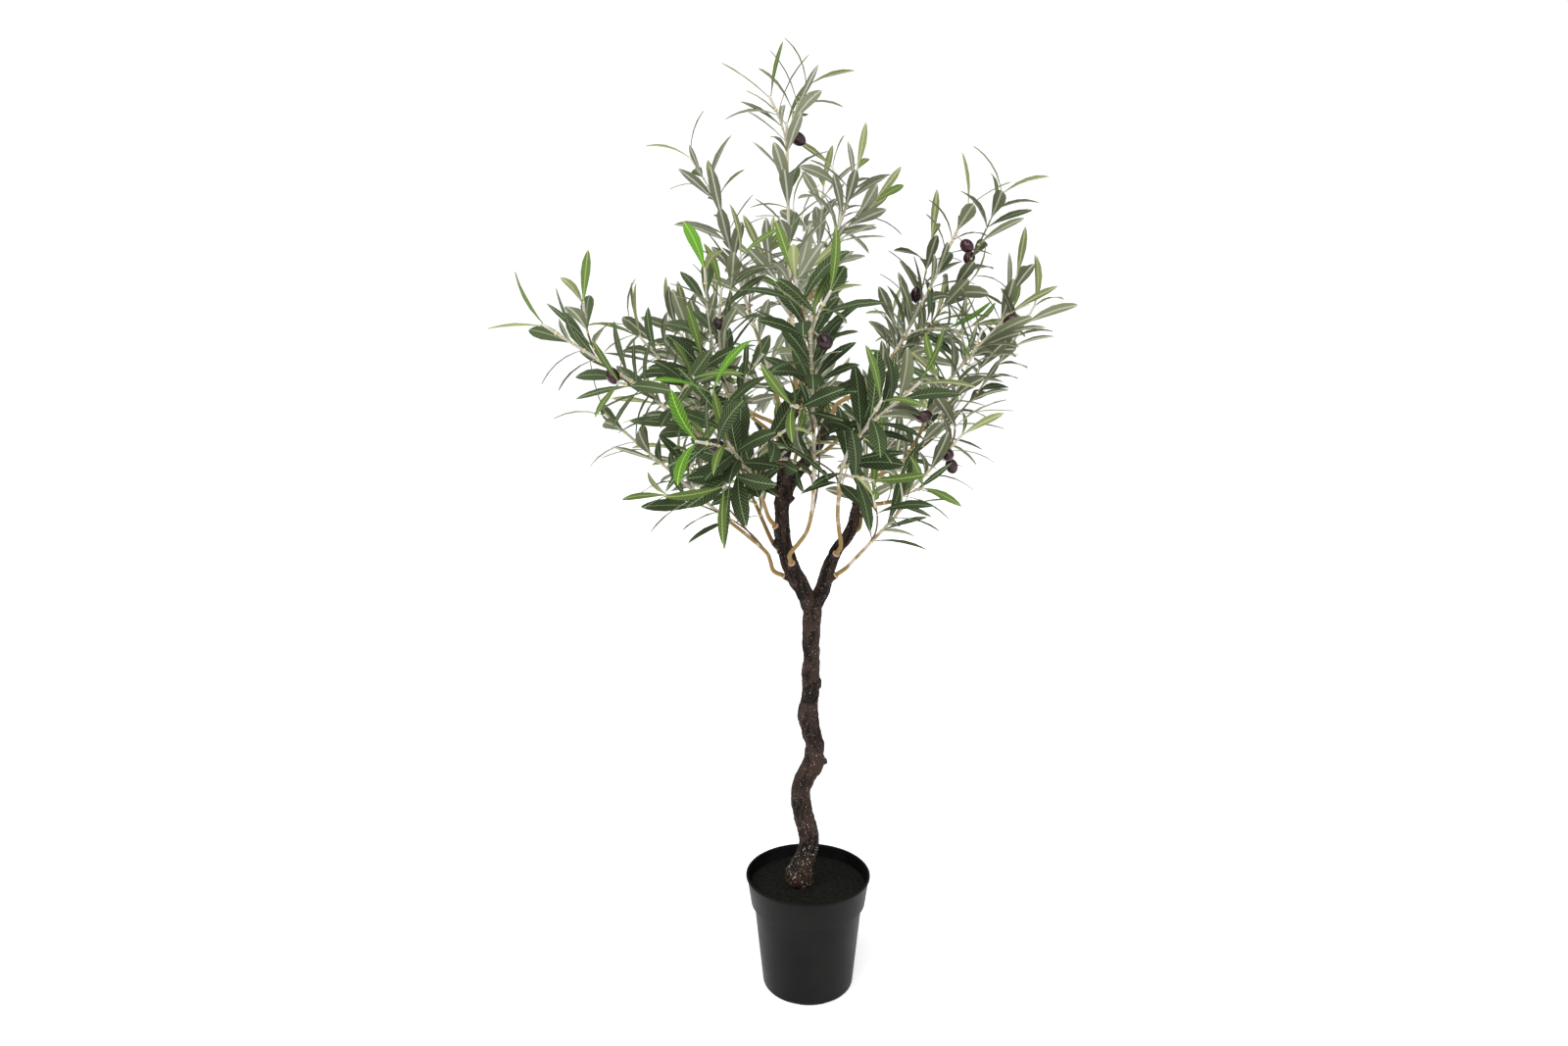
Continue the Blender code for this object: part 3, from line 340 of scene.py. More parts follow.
# The pairs of leaves down one twig: the length along it where each stands, and its number.
def leafNodes(lengths, kind, rng):
    place = lengths[-1] - mm(growth["endSink"])
    for number in range(growth["stemNodes"] if kind == "stem" else growth["twigNodes"]):
        if place < lengths[-1] * growth["bareShare"]:
            return
        yield place, number
        place -= rng.uniform(*mm(growth["nodePitch"]))


# The finer pairs between those: closer together, further down, and clear of the first ones.
def fineNodes(lengths, taken, bare, rng):
    place = lengths[-1] - mm(growth["endSink"]) - rng.uniform(*mm(growth["finePitch"]))
    while place > lengths[-1] * bare:
        if min(abs(place - other) for other in taken) > mm(growth["fineRoom"]):
            yield place, 1
        place -= rng.uniform(*mm(growth["finePitch"]))


# One leaf's size and bend, drawn in a fixed order: tilt, slimness, length, width and droop.
def drawnLeaf(number, rng):
    young = number == 0
    tilt = growth["tipTilt" if young else "leafTilt"] + rng.uniform(-1, 1) * growth["tiltSpread"]
    slim = rng.random() < growth["slimShare"]
    length = rng.uniform(*mm(growth["tipLength" if young else "leafLength"]))
    width = rng.uniform(*mm(growth["leafWidth"]))
    if young or slim:
        width = mm(growth["tipWidth" if young else "slimWidth"])
    return dict(young=young, slim=slim and not young, tilt=tilt, length=length, width=width,
                droop=growth["leafDroop"] * rng.uniform(0.4, 1.6))


# A leaf on its twig: it leaves at its tilt, cos(tilt) grain + sin(tilt) side, with its face upwards.
def placedLeaf(drawn, point, grain, turn):
    out = grain * math.cos(drawn["tilt"]) + turnedSide(grain, turn) * math.sin(drawn["tilt"])
    return dict(drawn, root=point, out=out, face=unit(grain - out * grain.dot(out)))


# Every leaf of a spray before any is skipped, with its place on its twig as a fractional index.
def wantedLeaves(number, twigs, fine):
    spray = sprays[number]
    for twigNumber, (path, radii, kind) in enumerate(twigs):
        if kind == "stalk":
            continue
        seed = spray["seed"] * growth["twigsASeed"] + twigNumber
        rng = random.Random(seed)
        turn = rng.uniform(0, fullTurn)
        lengths, along = lengthsAlong(path), tangents(path)
        nodes = leafNodes(lengths, kind, rng)
        if fine:
            taken = [lengths[-1]] + fineTaken[number, twigNumber]
            rng = random.Random(seed + growth["fineSeed"])
            nodes = fineNodes(lengths, taken, sprayLooks[number]["bare"], rng)
        for place, order in nodes:
            turn += growth["nodeTurn"] + rng.uniform(-1, 1) * growth["turnSpread"]
            point, grain = readOff(place, lengths, path), unit(readOff(place, lengths, along))
            index = float(np.interp(place, lengths, np.arange(len(path))))
            for halfTurn in (0, math.pi):
                leaf = dict(drawnLeaf(order, rng), spray=number, twig=twigNumber, index=index,
                            place=float(place), share=float(place / lengths[-1]), kind=kind)
                if fine:
                    leaf = lifeSize(leaf)
                yield leaf, point, grain, turn + halfTurn


# A leaf at the size that it has in life: the CAD's are larger, each for more than one of these.
def lifeSize(leaf):
    look = sprayLooks[leaf["spray"]]
    if leaf["young"]:
        lime = leaf["twig"] in look["lime"]
        return dict(leaf, lime=lime, width=leaf["width"] * (1.5 if lime else 1.0))
    slim = 0.8 if leaf["slim"] else 1
    return dict(leaf, lime=False, width=leaf["width"] * look["width"] * slim,
                length=leaf["length"] * look["length"])


# Centre, upper normal and side of leaves at shares of their length, each bent to a circle's arc:
# reach = length sin(bend) / droop, drop = length (1 - cos(bend)) / droop.
def leafLine(root, out, face, length, droop, share):
    bend = droop * share
    point = root + out * (length * np.sin(bend) / droop) - face * (length * (1 - np.cos(bend)) / droop)
    return point, face * np.cos(bend) + out * np.sin(bend), np.cross(face, out)


# A slightly swollen cage of one blade, four corners at each of a few shares of its length.
def leafFeeler(leaf):
    share, swell = np.array(growth["feelerRings"]).T[:, :, None]
    point, normal, side = leafLine(leaf["root"], leaf["out"], leaf["face"], leaf["length"],
                                   leaf["droop"], share)
    clear = mm(growth["leafClear"])
    half = leaf["width"] / 2 * swell + clear
    below = clear + leaf["length"] * growth["leafThickness"]
    corners = [point + side * half, point + normal * clear, point - side * half,
               point - normal * below]
    return np.stack(corners, axis=1).reshape(-1, 3), ringFaces(len(share), 4)


# The leaf at the first turn where it touches nothing, or None where it always would.
def freeLeaf(drawn, point, grain, turn, tree, blades):
    for step in growth["leafTries"]:
        leaf = placedLeaf(drawn, point, grain, turn + step)
        blade = skinTree([leafFeeler(leaf)])
        middle = leafLine(leaf["root"], leaf["out"], leaf["face"], leaf["length"],
                          leaf["droop"], 0.5)[0]
        near = [other for place, other in blades
                if np.linalg.norm(place - middle) < mm(growth["leafLength"][1])]
        if not blade.overlap(tree) and not any(blade.overlap(other) for other in near):
            blades.append((middle, blade))
            return leaf
    return None


# A short bar along an olive, for the cage round it.
def oliveSpan(path):
    reach = unit(path[-1] - path[-2]) * mm(growth["oliveLength"]) / 2
    return np.array([path[-1] - reach, path[-1] + reach]), np.full(2, mm(growth["oliveRadius"]))


# Whether a leaf is left off where the photo shows sky: below its spray's bare share, or too low.
def bareThere(leaf):
    ends = leafLine(leaf["root"], leaf["out"], leaf["face"], leaf["length"], leaf["droop"],
                    np.array([[0.5], [1.0]]))[0]
    low = ends[:, 2].min() < mm(growth["lowestTip"])
    return low or (leaf["kind"] == "stem" and leaf["share"] < sprayLooks[leaf["spray"]]["bare"])


# Grows everything: the CAD's own leaves first, so that they fall as they do there, then those at
# their size in life, and the finer pairs into the room that is left. Each leaf's root then moves
# on to its twig's smooth curve.
def growTree():
    limbs = dict(trunk=trunkLimb(), **{name: boughLimb(name)
                                       for name in ("leader", "rightBough", "innerBough")})
    sockets = {spray["name"]: socketOf(limbs[spray["limb"]], spray) for spray in sprays}
    skins = [cage(path, radii, 8) for path, radii in limbs.values()]
    skins += [cage(np.array([foot, end]), np.full(2, mm(socket["radius"])))
              for foot, end, out in sockets.values()]
    twigs = []
    for spray in sprays:
        tree = skinTree(skins)
        grown = growTwigs(spray, *sockets[spray["name"]][1:],
                          lambda skin: bool(skinTree([skin]).overlap(tree)))
        twigs.append(grown)
        skins += [cage(path, radii + mm(growth["twigClear"])) for path, radii, kind in grown]
        skins += [cage(*oliveSpan(path)) for path, radii, kind in grown if kind == "stalk"]
    tree = skinTree(skins)
    blades, coarse = [], []
    for number in range(len(sprays)):
        for wanted in wantedLeaves(number, twigs[number], False):
            leaf = freeLeaf(*wanted, tree, blades)
            if leaf:
                coarse.append(leaf)
                fineTaken[leaf["spray"], leaf["twig"]].append(leaf["place"])
    print("leaves as in the CAD:", len(coarse))
    leaves = [leaf for leaf in map(lifeSize, coarse) if not bareThere(leaf)]
    blades = [(leafLine(leaf["root"], leaf["out"], leaf["face"], leaf["length"], leaf["droop"],
                        0.5)[0], skinTree([leafFeeler(leaf)])) for leaf in leaves]
    for number in range(len(sprays)):
        for wanted in wantedLeaves(number, twigs[number], True):
            leaf = freeLeaf(*wanted, tree, blades)
            if leaf and not bareThere(leaf):
                leaves.append(leaf)
    for leaf in leaves:
        path = twigs[leaf["spray"]][leaf["twig"]][0]
        leaf["root"] = curveAt(path, np.array([leaf["index"]]))[0]
    print("leaves in all:", len(leaves))
    return limbs, sockets, twigs, leaves


# How each spray is dressed: tone 0 deep green, 1 green, 2 grey-green; widths and lengths against
# the CAD's leaves; the share of its stem that is bare; and its twigs whose young pair is lime.
sprayNodes = [spray["name"] for spray in sprays]
lowFront = dict(tone=0, width=1.05, length=0.84, bare=0.42, lime=())
upper = dict(tone=1, width=0.85, length=0.82, bare=0.2, lime=())
sprayLooks = {name: upper for name in sprayNodes}
sprayLooks.update(
    spray_front_left=dict(lowFront, lime=(1, 2)), spray_front=dict(lowFront, width=0.9),
    spray_front_right=lowFront, spray_low_left=dict(lowFront, width=0.9),
    spray_low_right=dict(lowFront, width=0.85), spray_left=dict(upper, tone=0, width=0.85),
    spray_far_left=upper, spray_left_centre=dict(upper, lime=(1,)),
    spray_upper_right=dict(upper, lime=(4,)), spray_crown=dict(upper, tone=2),
    spray_tall_back=dict(upper, tone=2), spray_top_back=dict(upper, tone=2),
    spray_upper_left=dict(upper, tone=2), spray_back=dict(upper, tone=2))
sprayLooks = [sprayLooks[name] for name in sprayNodes]
fineTaken = {(spray, twig): [] for spray in range(len(sprays)) for twig in range(12)}

limbs, sockets, twigs, leaves = growTree()


# A colour channel from sRGB to linear light: c / 12.92, or ((c + 0.055) / 1.055) ** 2.4.
def tone(hexColour):
    share = np.array([int(hexColour[at:at + 2], 16) for at in (1, 3, 5)]) / 255
    linear = np.where(share <= 0.04045, share / 12.92, ((share + 0.055) / 1.055) ** 2.4)
    return (*linear.tolist(), 1.0)


# Adds one shader node: settings are its own properties, inputs are numbers, colours or sockets.
def addNode(tree, kind, inputs=None, **settings):
    made = tree.nodes.new("ShaderNode" + kind)
    for key, value in settings.items():
        setattr(made, key, value)
    for key, value in (inputs or {}).items():
        if isinstance(value, bpy.types.NodeSocket):
            tree.links.new(value, made.inputs[key])
        else:
            made.inputs[key].default_value = value
    return made


# A sum, product or other operation of two values, as a node's output.
def maths(tree, operation, first, second=0.0, third=0.0):
    return addNode(tree, "Math", {0: first, 1: second, 2: third}, operation=operation).outputs[0]


# A value stretched from one range to another and held there, eased at both ends.
def eased(tree, value, low, high, newLow=0.0, newHigh=1.0):
    return addNode(tree, "MapRange", {"Value": value, "From Min": low, "From Max": high,
                                      "To Min": newLow, "To Max": newHigh},
                   interpolation_type="SMOOTHSTEP").outputs[0]


# Two colours blended by a share.
def blend(tree, share, first, second):
    return addNode(tree, "Mix", {"Factor": share, "A": first, "B": second},
                   data_type="RGBA").outputs["Result"]


# A noise on the object's own metres, so many cells to the metre.
def noiseField(tree, cells, detail):
    place = addNode(tree, "TexCoord").outputs["Object"]
    return addNode(tree, "TexNoise", {"Vector": place, "Scale": cells, "Detail": detail}).outputs[0]


# A new material and its Principled shader, with constants set on the shader's sockets.
def newMaterial(name, roughness, gloss, **constants):
    material = bpy.data.materials.new(name)
    material.use_nodes = True
    tree = material.node_tree
    shader = tree.nodes["Principled BSDF"]
    for key, value in {"Roughness": roughness, "Specular IOR Level": gloss, **constants}.items():
        shader.inputs[key].default_value = value
    return material, tree, shader


# Links a colour to a shader, and a height as relief of a strength and a depth in metres.
def dress(tree, shader, colour, height=None, strength=0.0, depth=0.0):
    tree.links.new(colour, shader.inputs["Base Color"])
    if height is not None:
        bump = addNode(tree, "Bump", {"Height": height, "Strength": strength, "Distance": depth})
        tree.links.new(bump.outputs[0], shader.inputs["Normal"])


# An object linked to the scene at the origin, unturned.
def placed(name, data):
    thing = bpy.data.objects.new(name, data)
    bpy.context.scene.collection.objects.link(thing)
    return thing


# An object from arrays: points, faces, one material number a face, and values a point.
def addPiece(name, points, faces, nodes, materials, picks=None, uv=None, values=None):
    mesh = bpy.data.meshes.new(name)
    mesh.from_pydata(points, [], faces)
    for material in materials:
        mesh.materials.append(material)
    mesh.shade_smooth()
    if picks is not None:
        mesh.polygons.foreach_set("material_index", np.asarray(picks, dtype=np.int32))
    corners = np.zeros(len(mesh.loops), dtype=np.int32)
    mesh.loops.foreach_get("vertex_index", corners)
    if uv is not None:
        layer = mesh.uv_layers.new(name="sheet")
        layer.data.foreach_set("uv", uv[corners].astype(np.float32).ravel())
    for key, numbers in (values or {}).items():
        attribute = mesh.attributes.new(key, "FLOAT", "POINT")
        attribute.data.foreach_set("value", numbers.astype(np.float32).ravel())
    mesh.update()
    piece = placed(name, mesh)
    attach(piece, "root")
    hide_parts(*nodes)
    return piece


# The faces of many alike skins, each a pole, rings of sides corners and a pole: quads between the
# rings and fans of triangles to the poles, all counter-clockwise from outside.
def skinFaces(copies, rings, sides, start=0):
    base = start + np.arange(copies)[:, None, None] * (rings * sides + 2)
    ring, side = np.meshgrid(np.arange(rings - 1), np.arange(sides), indexing="ij")
    onward = (side + 1) % sides
    quads = np.stack([ring * sides + side, ring * sides + onward,
                      (ring + 1) * sides + onward, (ring + 1) * sides + side], axis=-1)
    quads = (base[..., None] + 1 + quads).reshape(-1, 4)
    side, onward = side[0], onward[0]
    base = base[:, 0]
    foot = np.stack([base + 0 * side, base + 1 + onward, base + 1 + side], axis=-1)
    last = base + 1 + (rings - 1) * sides
    head = np.stack([base + 1 + rings * sides + 0 * side, last + side, last + onward], axis=-1)
    return quads.tolist() + foot.reshape(-1, 3).tolist() + head.reshape(-1, 3).tolist()


# Two unit vectors square to a path at each point, from one fixed guide, so that they never flip.
def frames(path):
    along = tangents(path)
    guide = across(unit(path[-1] - path[0]))
    first = unit(guide - along * (along @ guide)[:, None])
    return along, first, np.cross(along, first)


# A closed tube: centre + radius (first cos(angle) + second sin(angle)), a pole on each end.
# radii is one value a ring, or one a corner.
def tubePoints(path, radii, sides):
    along, first, second = frames(path)
    angle = fullTurn * np.arange(sides)[None, :, None] / sides
    spokes = first[:, None] * np.cos(angle) + second[:, None] * np.sin(angle)
    radii = np.asarray(radii)
    radii = np.broadcast_to(radii[:, None] if radii.ndim == 1 else radii, (len(path), sides))
    rings = path[:, None] + spokes * radii[..., None]
    return np.vstack([path[:1], rings.reshape(-1, 3), path[-1:]])


# Several tubes of one kind put in one list: points in a row, faces moved on to match.
def joined(tubes):
    points, faces = [], []
    for path, radii, sides in tubes:
        faces += skinFaces(1, len(path), sides, sum(map(len, points)))
        points.append(tubePoints(path, radii, sides))
    return np.vstack(points), faces


# A path with about one point for each step, read off its smooth curve.
def finePath(path, step, first=0.0, last=None):
    last = len(path) - 1 if last is None else last
    reach = float(np.linalg.norm(np.diff(path, axis=0), axis=1).sum())
    count = max(3, int(math.ceil(reach * (last - first) / (len(path) - 1) / mm(step))) + 1)
    return curveAt(path, np.linspace(first, last, count))


# Printed and pressed cloth: a fine weave in the gloss, and pale veins on the leaf's own millimetres,
# a midrib, side veins that run forwards from it, and a fine net between them.
clothLook = dict(weave=1400, weaveStrength=0.25, weaveDepth=0.4, veinPitch=4.2, veinForward=1.0,
                 veinWidth=0.17, net=0.5, netWidth=0.1, midribShare=0.85, shade=(0.75, 1.25),
                 roughness=0.6, gloss=0.12)


# One cloth: its base colour shaded leaf by leaf, then blended to the vein's by the strongest of the
# midrib, the side veins and the net. midrib is its half width in millimetres.
def leafCloth(name, base, vein, veinShare, midrib):
    material, tree, shader = newMaterial(name, clothLook["roughness"], clothLook["gloss"])
    sheet = addNode(tree, "UVMap", uv_map="sheet").outputs[0]
    place = addNode(tree, "SeparateXYZ", {0: sheet})
    side = maths(tree, "ABSOLUTE", place.outputs[0])
    forward = maths(tree, "MULTIPLY", side, clothLook["veinForward"])
    run = maths(tree, "DIVIDE", maths(tree, "SUBTRACT", place.outputs[1], forward),
                clothLook["veinPitch"])
    ridge = maths(tree, "PINGPONG", run, 0.5)
    sideVein = eased(tree, ridge, 0.5 - clothLook["veinWidth"], 0.5, 0, 0.8)
    centre = eased(tree, side, midrib, midrib * 1.8, 1, 0)
    net = addNode(tree, "TexVoronoi", {"Vector": sheet, "Scale": clothLook["net"]},
                  feature="DISTANCE_TO_EDGE", voronoi_dimensions="2D").outputs["Distance"]
    netVein = eased(tree, net, 0.0, clothLook["netWidth"], 0.5, 0)
    fine = maths(tree, "MULTIPLY", maths(tree, "MAXIMUM", sideVein, netVein), veinShare)
    veins = maths(tree, "MAXIMUM", maths(tree, "MULTIPLY", centre, clothLook["midribShare"]), fine)
    leafTone = addNode(tree, "Attribute", attribute_name="leafTone").outputs["Fac"]
    shade = eased(tree, leafTone, -1, 1, *clothLook["shade"])
    dyed = addNode(tree, "VectorMath", {0: base[:3], "Scale": shade}, operation="SCALE").outputs[0]
    dress(tree, shader, blend(tree, veins, dyed, vein), noiseField(tree, clothLook["weave"], 2.0),
          clothLook["weaveStrength"], float(mm(clothLook["weaveDepth"])))
    return material


leafMaterials = [
    leafCloth("leafClothDeepTop", tone("#253019"), tone("#7f9468"), 0.6, 0.35),
    leafCloth("leafClothTop", tone("#3b482b"), tone("#84926f"), 0.45, 0.35),
    leafCloth("leafClothGreyTop", tone("#4a5538"), tone("#8c947a"), 0.35, 0.4),
    leafCloth("leafClothUnder", tone("#70765a"), tone("#c3c5ac"), 0.15, 0.8),
    leafCloth("leafClothGreyUnder", tone("#83886f"), tone("#cfd0bf"), 0.15, 0.8),
    leafCloth("leafClothYoungTop", tone("#4d632b"), tone("#94a364"), 0.35, 0.35),
    leafCloth("leafClothYoungUnder", tone("#8b9160"), tone("#bcc296"), 0.15, 0.7),
    leafCloth("leafClothLimeTop", tone("#467620"), tone("#9cc055"), 0.55, 0.35),
]

# Blades: seven rings of six corners between two poles. Half width is sin(pi s ** 1.4) ** 0.8 of the
# widest, so that a blade is widest past its middle. It is a shallow trough above, with a rib below.
bladeShape = dict(shares=(0.03, 0.16, 0.36, 0.57, 0.76, 0.9, 0.97), swell=1.4, blunt=0.8, neck=0.6,
                  thick=0.3, rib=0.65, trough=0.13, ripple=0.05, twist=0.35, seed=11)
bladeAcross = np.array([1, 0.42, -0.42, -1, -0.25, 0.25])
bladeRise = np.array([0, 1, 1, 0, -1, -1])


# All blades of a group at once: centre + breadth off + upwards rise, where rise is the cloth's
# thickness, a share of the distance from the middle, and a ripple along the edge.
def bladePoints(group):
    pick = lambda key: np.array([leaf[key] for leaf in group], dtype=float)
    rng = np.random.default_rng(bladeShape["seed"])
    count, rings = len(group), len(bladeShape["shares"])
    share = np.array(bladeShape["shares"])[None, :, None]
    root, out, face = (pick(key)[:, None] for key in ("root", "out", "face"))
    length, droop, width = (pick(key)[:, None, None] for key in ("length", "droop", "width"))
    centre, normal, side = leafLine(root, out, face, length, droop, share)
    half = width / 2 * np.sin(np.pi * share ** bladeShape["swell"]) ** bladeShape["blunt"]
    half = np.maximum(half, mm(bladeShape["neck"]))
    twist = rng.uniform(-1, 1, (count, 1, 1)) * bladeShape["twist"] * share
    breadth = (side * np.cos(twist) + normal * np.sin(twist))[:, :, None]
    upwards = (normal * np.cos(twist) - side * np.sin(twist))[:, :, None]
    off = half[:, :, None] * bladeAcross[:, None]
    thick = mm(np.where(bladeRise < 0, bladeShape["rib"], bladeShape["thick"]) * bladeRise)
    ripple = np.sin(share * 9 + rng.uniform(0, fullTurn, (count, 1, 1)))[:, :, None]
    rise = thick[:, None] + np.abs(off) * bladeShape["trough"] + off * ripple * bladeShape["ripple"]
    corners = centre[:, :, None] + breadth * off + upwards * rise
    tip = leafLine(root, out, face, length, droop, 1.0)[0]
    points = np.concatenate([root, corners.reshape(count, -1, 3), tip], axis=1)
    middle = np.zeros((count, 1))
    along = np.broadcast_to(share * length, (count, rings, 6)).reshape(count, -1)
    sheet = np.stack([np.hstack([middle, off[..., 0].reshape(count, -1), middle]),
                      np.hstack([middle, along, length[:, 0]])], axis=-1) * 1000
    leafTone = np.repeat(rng.uniform(-1, 1, count), points.shape[1])
    return points.reshape(-1, 3), sheet.reshape(-1, 2), leafTone


# Material numbers of a blade's faces: above on its first three columns, below on the others.
def bladePicks(group):
    above = np.array([(7 if leaf["lime"] else 5) if leaf["young"] else
                      sprayLooks[leaf["spray"]]["tone"] for leaf in group])
    below = np.where(above >= 5, 6, np.where(above == 2, 4, 3))
    both = np.where(np.arange(6) < 3, above[:, None], below[:, None])
    quads = np.repeat(both[:, None], len(bladeShape["shares"]) - 1, axis=1).reshape(-1)
    return np.concatenate([quads, both.reshape(-1), both.reshape(-1)])


for number, name in enumerate(("frontLeaves", "backLeaves")):
    group = [leaf for leaf in leaves if (leaf["root"][1] > 0) == bool(number)]
    points, sheet, leafTone = bladePoints(group)
    piece = addPiece(name, points, skinFaces(len(group), len(bladeShape["shares"]), 6),
                     sprayNodes, leafMaterials, bladePicks(group), sheet,
                     dict(leafTone=leafTone))
    piece.data.set_sharp_from_angle(angle=math.radians(60))
    print(name + ":", len(group), "leaves,", len(piece.data.polygons), "faces")

# Moulded stems: satin tan plastic at the socket, whitish towards the leafy end, some twigs brown.
# "outward" is how far out along its stem a point is.
stemShape = dict(step=7, stemRadii=(2.9, 1.5), twigRadii=(1.3, 0.9), stalkRadius=0.8, sides=8,
                 brownShare=0.35, seed=7)


# One plastic: the near colour blended to the far one where outward, less or more a noise, is high.
def stemPlastic(name, near, far, roughness):
    material, tree, shader = newMaterial(name, roughness, 0.2)
    outward = addNode(tree, "Attribute", attribute_name="outward").outputs["Fac"]
    uneven = eased(tree, noiseField(tree, 55.0, 3.0), 0.3, 0.7, -0.25, 0.25)
    change = maths(tree, "ADD", outward, uneven)
    dress(tree, shader, blend(tree, eased(tree, change, 0.3, 0.65), near, far))
    return material


stemTan = stemPlastic("stemMouldedTan", tone("#8f7443"), tone("#c6beae"), 0.5)
twigBrown = stemPlastic("twigMouldedBrown", tone("#4c3a2c"), tone("#6b5a48"), 0.5)
neckWhite = stemPlastic("neckMouldedWhite", tone("#cfcabf"), tone("#b5ad9f"), 0.45)
collarCream = stemPlastic("collarMouldedCream", tone("#cfc596"), tone("#b9ac7c"), 0.5)
ringPink = stemPlastic("ringMouldedPink", tone("#b89a82"), tone("#a98d74"), 0.5)

stemTubes, brownTubes, neckTubes, collarTubes, olivePaths = [], [], [], [], []
brownDraw = random.Random(stemShape["seed"])
for path, radii, kind in [twig for grown in twigs for twig in grown]:
    if kind == "stalk":
        olivePaths.append(path)
        stemTubes.append((np.linspace(*path, 3), np.full(3, mm(stemShape["stalkRadius"])), 6, 0.8))
        continue
    fine = finePath(path, stemShape["step"])
    brown = kind == "twig" and brownDraw.random() < stemShape["brownShare"]
    (brownTubes if brown else stemTubes).append(
        (fine, taper(fine, mm(stemShape[kind + "Radii"])), stemShape["sides"],
         0.0 if kind == "stem" else 0.5))
for name, tubes, material in (("stems", stemTubes, stemTan), ("brownTwigs", brownTubes, twigBrown)):
    points, faces = joined([tube[:3] for tube in tubes])
    outward = np.concatenate([np.interp(np.arange(len(path) * sides + 2),
                                        (0, len(path) * sides), (start, 1))
                              for path, radii, sides, start in tubes])
    addPiece(name, points, faces, sprayNodes, [material],
             values=dict(outward=outward))
    print(name + ":", len(tubes), "tubes,", len(faces), "faces")

# Necks and collars: a white sleeve on each twig's end below its young pair, with a cream bead at
# its foot, and a small cream ring under every other pair of leaves.
sleeve = dict(reach=13, radius=1.5, beadReach=1.8, beadRadius=2.5)
ring = dict(reach=1.4, stand=0.7)


# A bead on a path: a short tube whose radius swells as a half ellipse about its middle.
def bead(path, middle, half, thin, thick):
    lengths = lengthsAlong(path)
    place = np.clip(middle + np.linspace(-1, 1, 5) * half, 0, lengths[-1])
    centre = curveAt(path, np.interp(place, lengths, np.arange(len(path))))
    return centre, thin + (thick - thin) * np.sqrt(np.maximum(0, 1 - np.linspace(-1, 1, 5) ** 2)), 10


pairs = {(leaf["spray"], leaf["twig"], round(leaf["index"], 4)): leaf["young"] for leaf in leaves}
for (spray, twig, index), young in pairs.items():
    path, radii, kind = twigs[spray][twig]
    lengths = lengthsAlong(path)
    place = float(np.interp(index, np.arange(len(path)), lengths))
    own = np.interp(index, (0, len(path) - 1), mm(stemShape[kind + "Radii"]))
    if young:
        start = max(0.0, place - mm(sleeve["reach"]))
        span = np.interp(np.linspace(start, lengths[-1], 6), lengths, np.arange(len(path)))
        neckTubes.append((curveAt(path, span), np.full(6, max(own, mm(sleeve["radius"]))), 8))
        collarTubes.append(bead(path, start, mm(sleeve["beadReach"]), own * 0.9,
                                mm(sleeve["beadRadius"])))
    else:
        collarTubes.append(bead(path, place - mm(1), mm(ring["reach"]), own * 0.9,
                                own + mm(ring["stand"])))
for name, tubes, material in (("leafNecks", neckTubes, neckWhite),
                              ("leafCollars", collarTubes, collarCream)):
    points, faces = joined(tubes)
    addPiece(name, points, faces, sprayNodes, [material])
    print(name + ":", len(tubes), "tubes,", len(faces), "faces")

# Olives: an ellipsoid along the stalk with a small point, glossy dark maroon paint.
oliveShape = dict(radius=7.4, length=20, point=0.9, rings=15, sides=24)
oliveSkin, tree, shader = newMaterial("oliveMouldedGloss", 0.2, 0.35,
                                      **{"Coat Weight": 0.15, "Coat Roughness": 0.08})
bloom = eased(tree, noiseField(tree, 110.0, 2.0), 0.35, 0.7)
dress(tree, shader, blend(tree, bloom, tone("#1d0a11"), tone("#3b1522")))
oliveTubes = []
for path in olivePaths:
    angle = np.linspace(0, math.pi, oliveShape["rings"] + 2)[1:-1]
    along = -np.cos(angle) * mm(oliveShape["length"]) / 2
    along = along + mm(oliveShape["point"]) * np.clip((angle - 2.6) / 0.5, 0, 1) ** 2
    grain = unit(path[-1] - path[-2])
    oliveTubes.append((path[-1] + along[:, None] * grain, mm(oliveShape["radius"]) * np.sin(angle),
                       oliveShape["sides"]))
points, faces = joined(oliveTubes)
addPiece("olives", points, faces, sprayNodes, [oliveSkin])
print("olives:", len(oliveTubes))

# A smooth random field that wraps round: values drawn at the corners of cells, blended by the
# smoothstep of the place inside its cell. turn is 0 to 1 about, and along is in cells.
def wrapNoise(turn, along, cells, seed):
    corner = np.random.default_rng(seed).uniform(-1, 1, (int(along.max()) + 3, cells))
    x, y = (turn % 1.0) * cells, along
    column, row = np.floor(x).astype(int), np.floor(y).astype(int)
    u, v = x - column, y - row
    u, v = u * u * (3 - 2 * u), v * v * (3 - 2 * v)
    left, right = column % cells, (column + 1) % cells
    low = corner[row, left] * (1 - u) + corner[row, right] * u
    return low * (1 - v) + (corner[row + 1, left] * (1 - u) + corner[row + 1, right] * u) * v


# Bark: dark brown moulded plastic whose colour follows its relief: darker in the cracks and paler on
# the ridges and raised knots, partly dry-brushed paint and partly painted shade and painted highlight;
# with a dusting near the foot.
barkPaint = dict(grain=420, patch=38, speckle=520, dusty=0.13, clean=0.24, grainStrength=0.5,
                 grainDepth=0.6)
barkBrown, tree, shader = newMaterial("barkMouldedPainted", 0.6, 0.12)
relief = addNode(tree, "Attribute", attribute_name="relief").outputs["Fac"]
grainField = noiseField(tree, barkPaint["grain"], 4.0)
patch = noiseField(tree, barkPaint["patch"], 3.0)
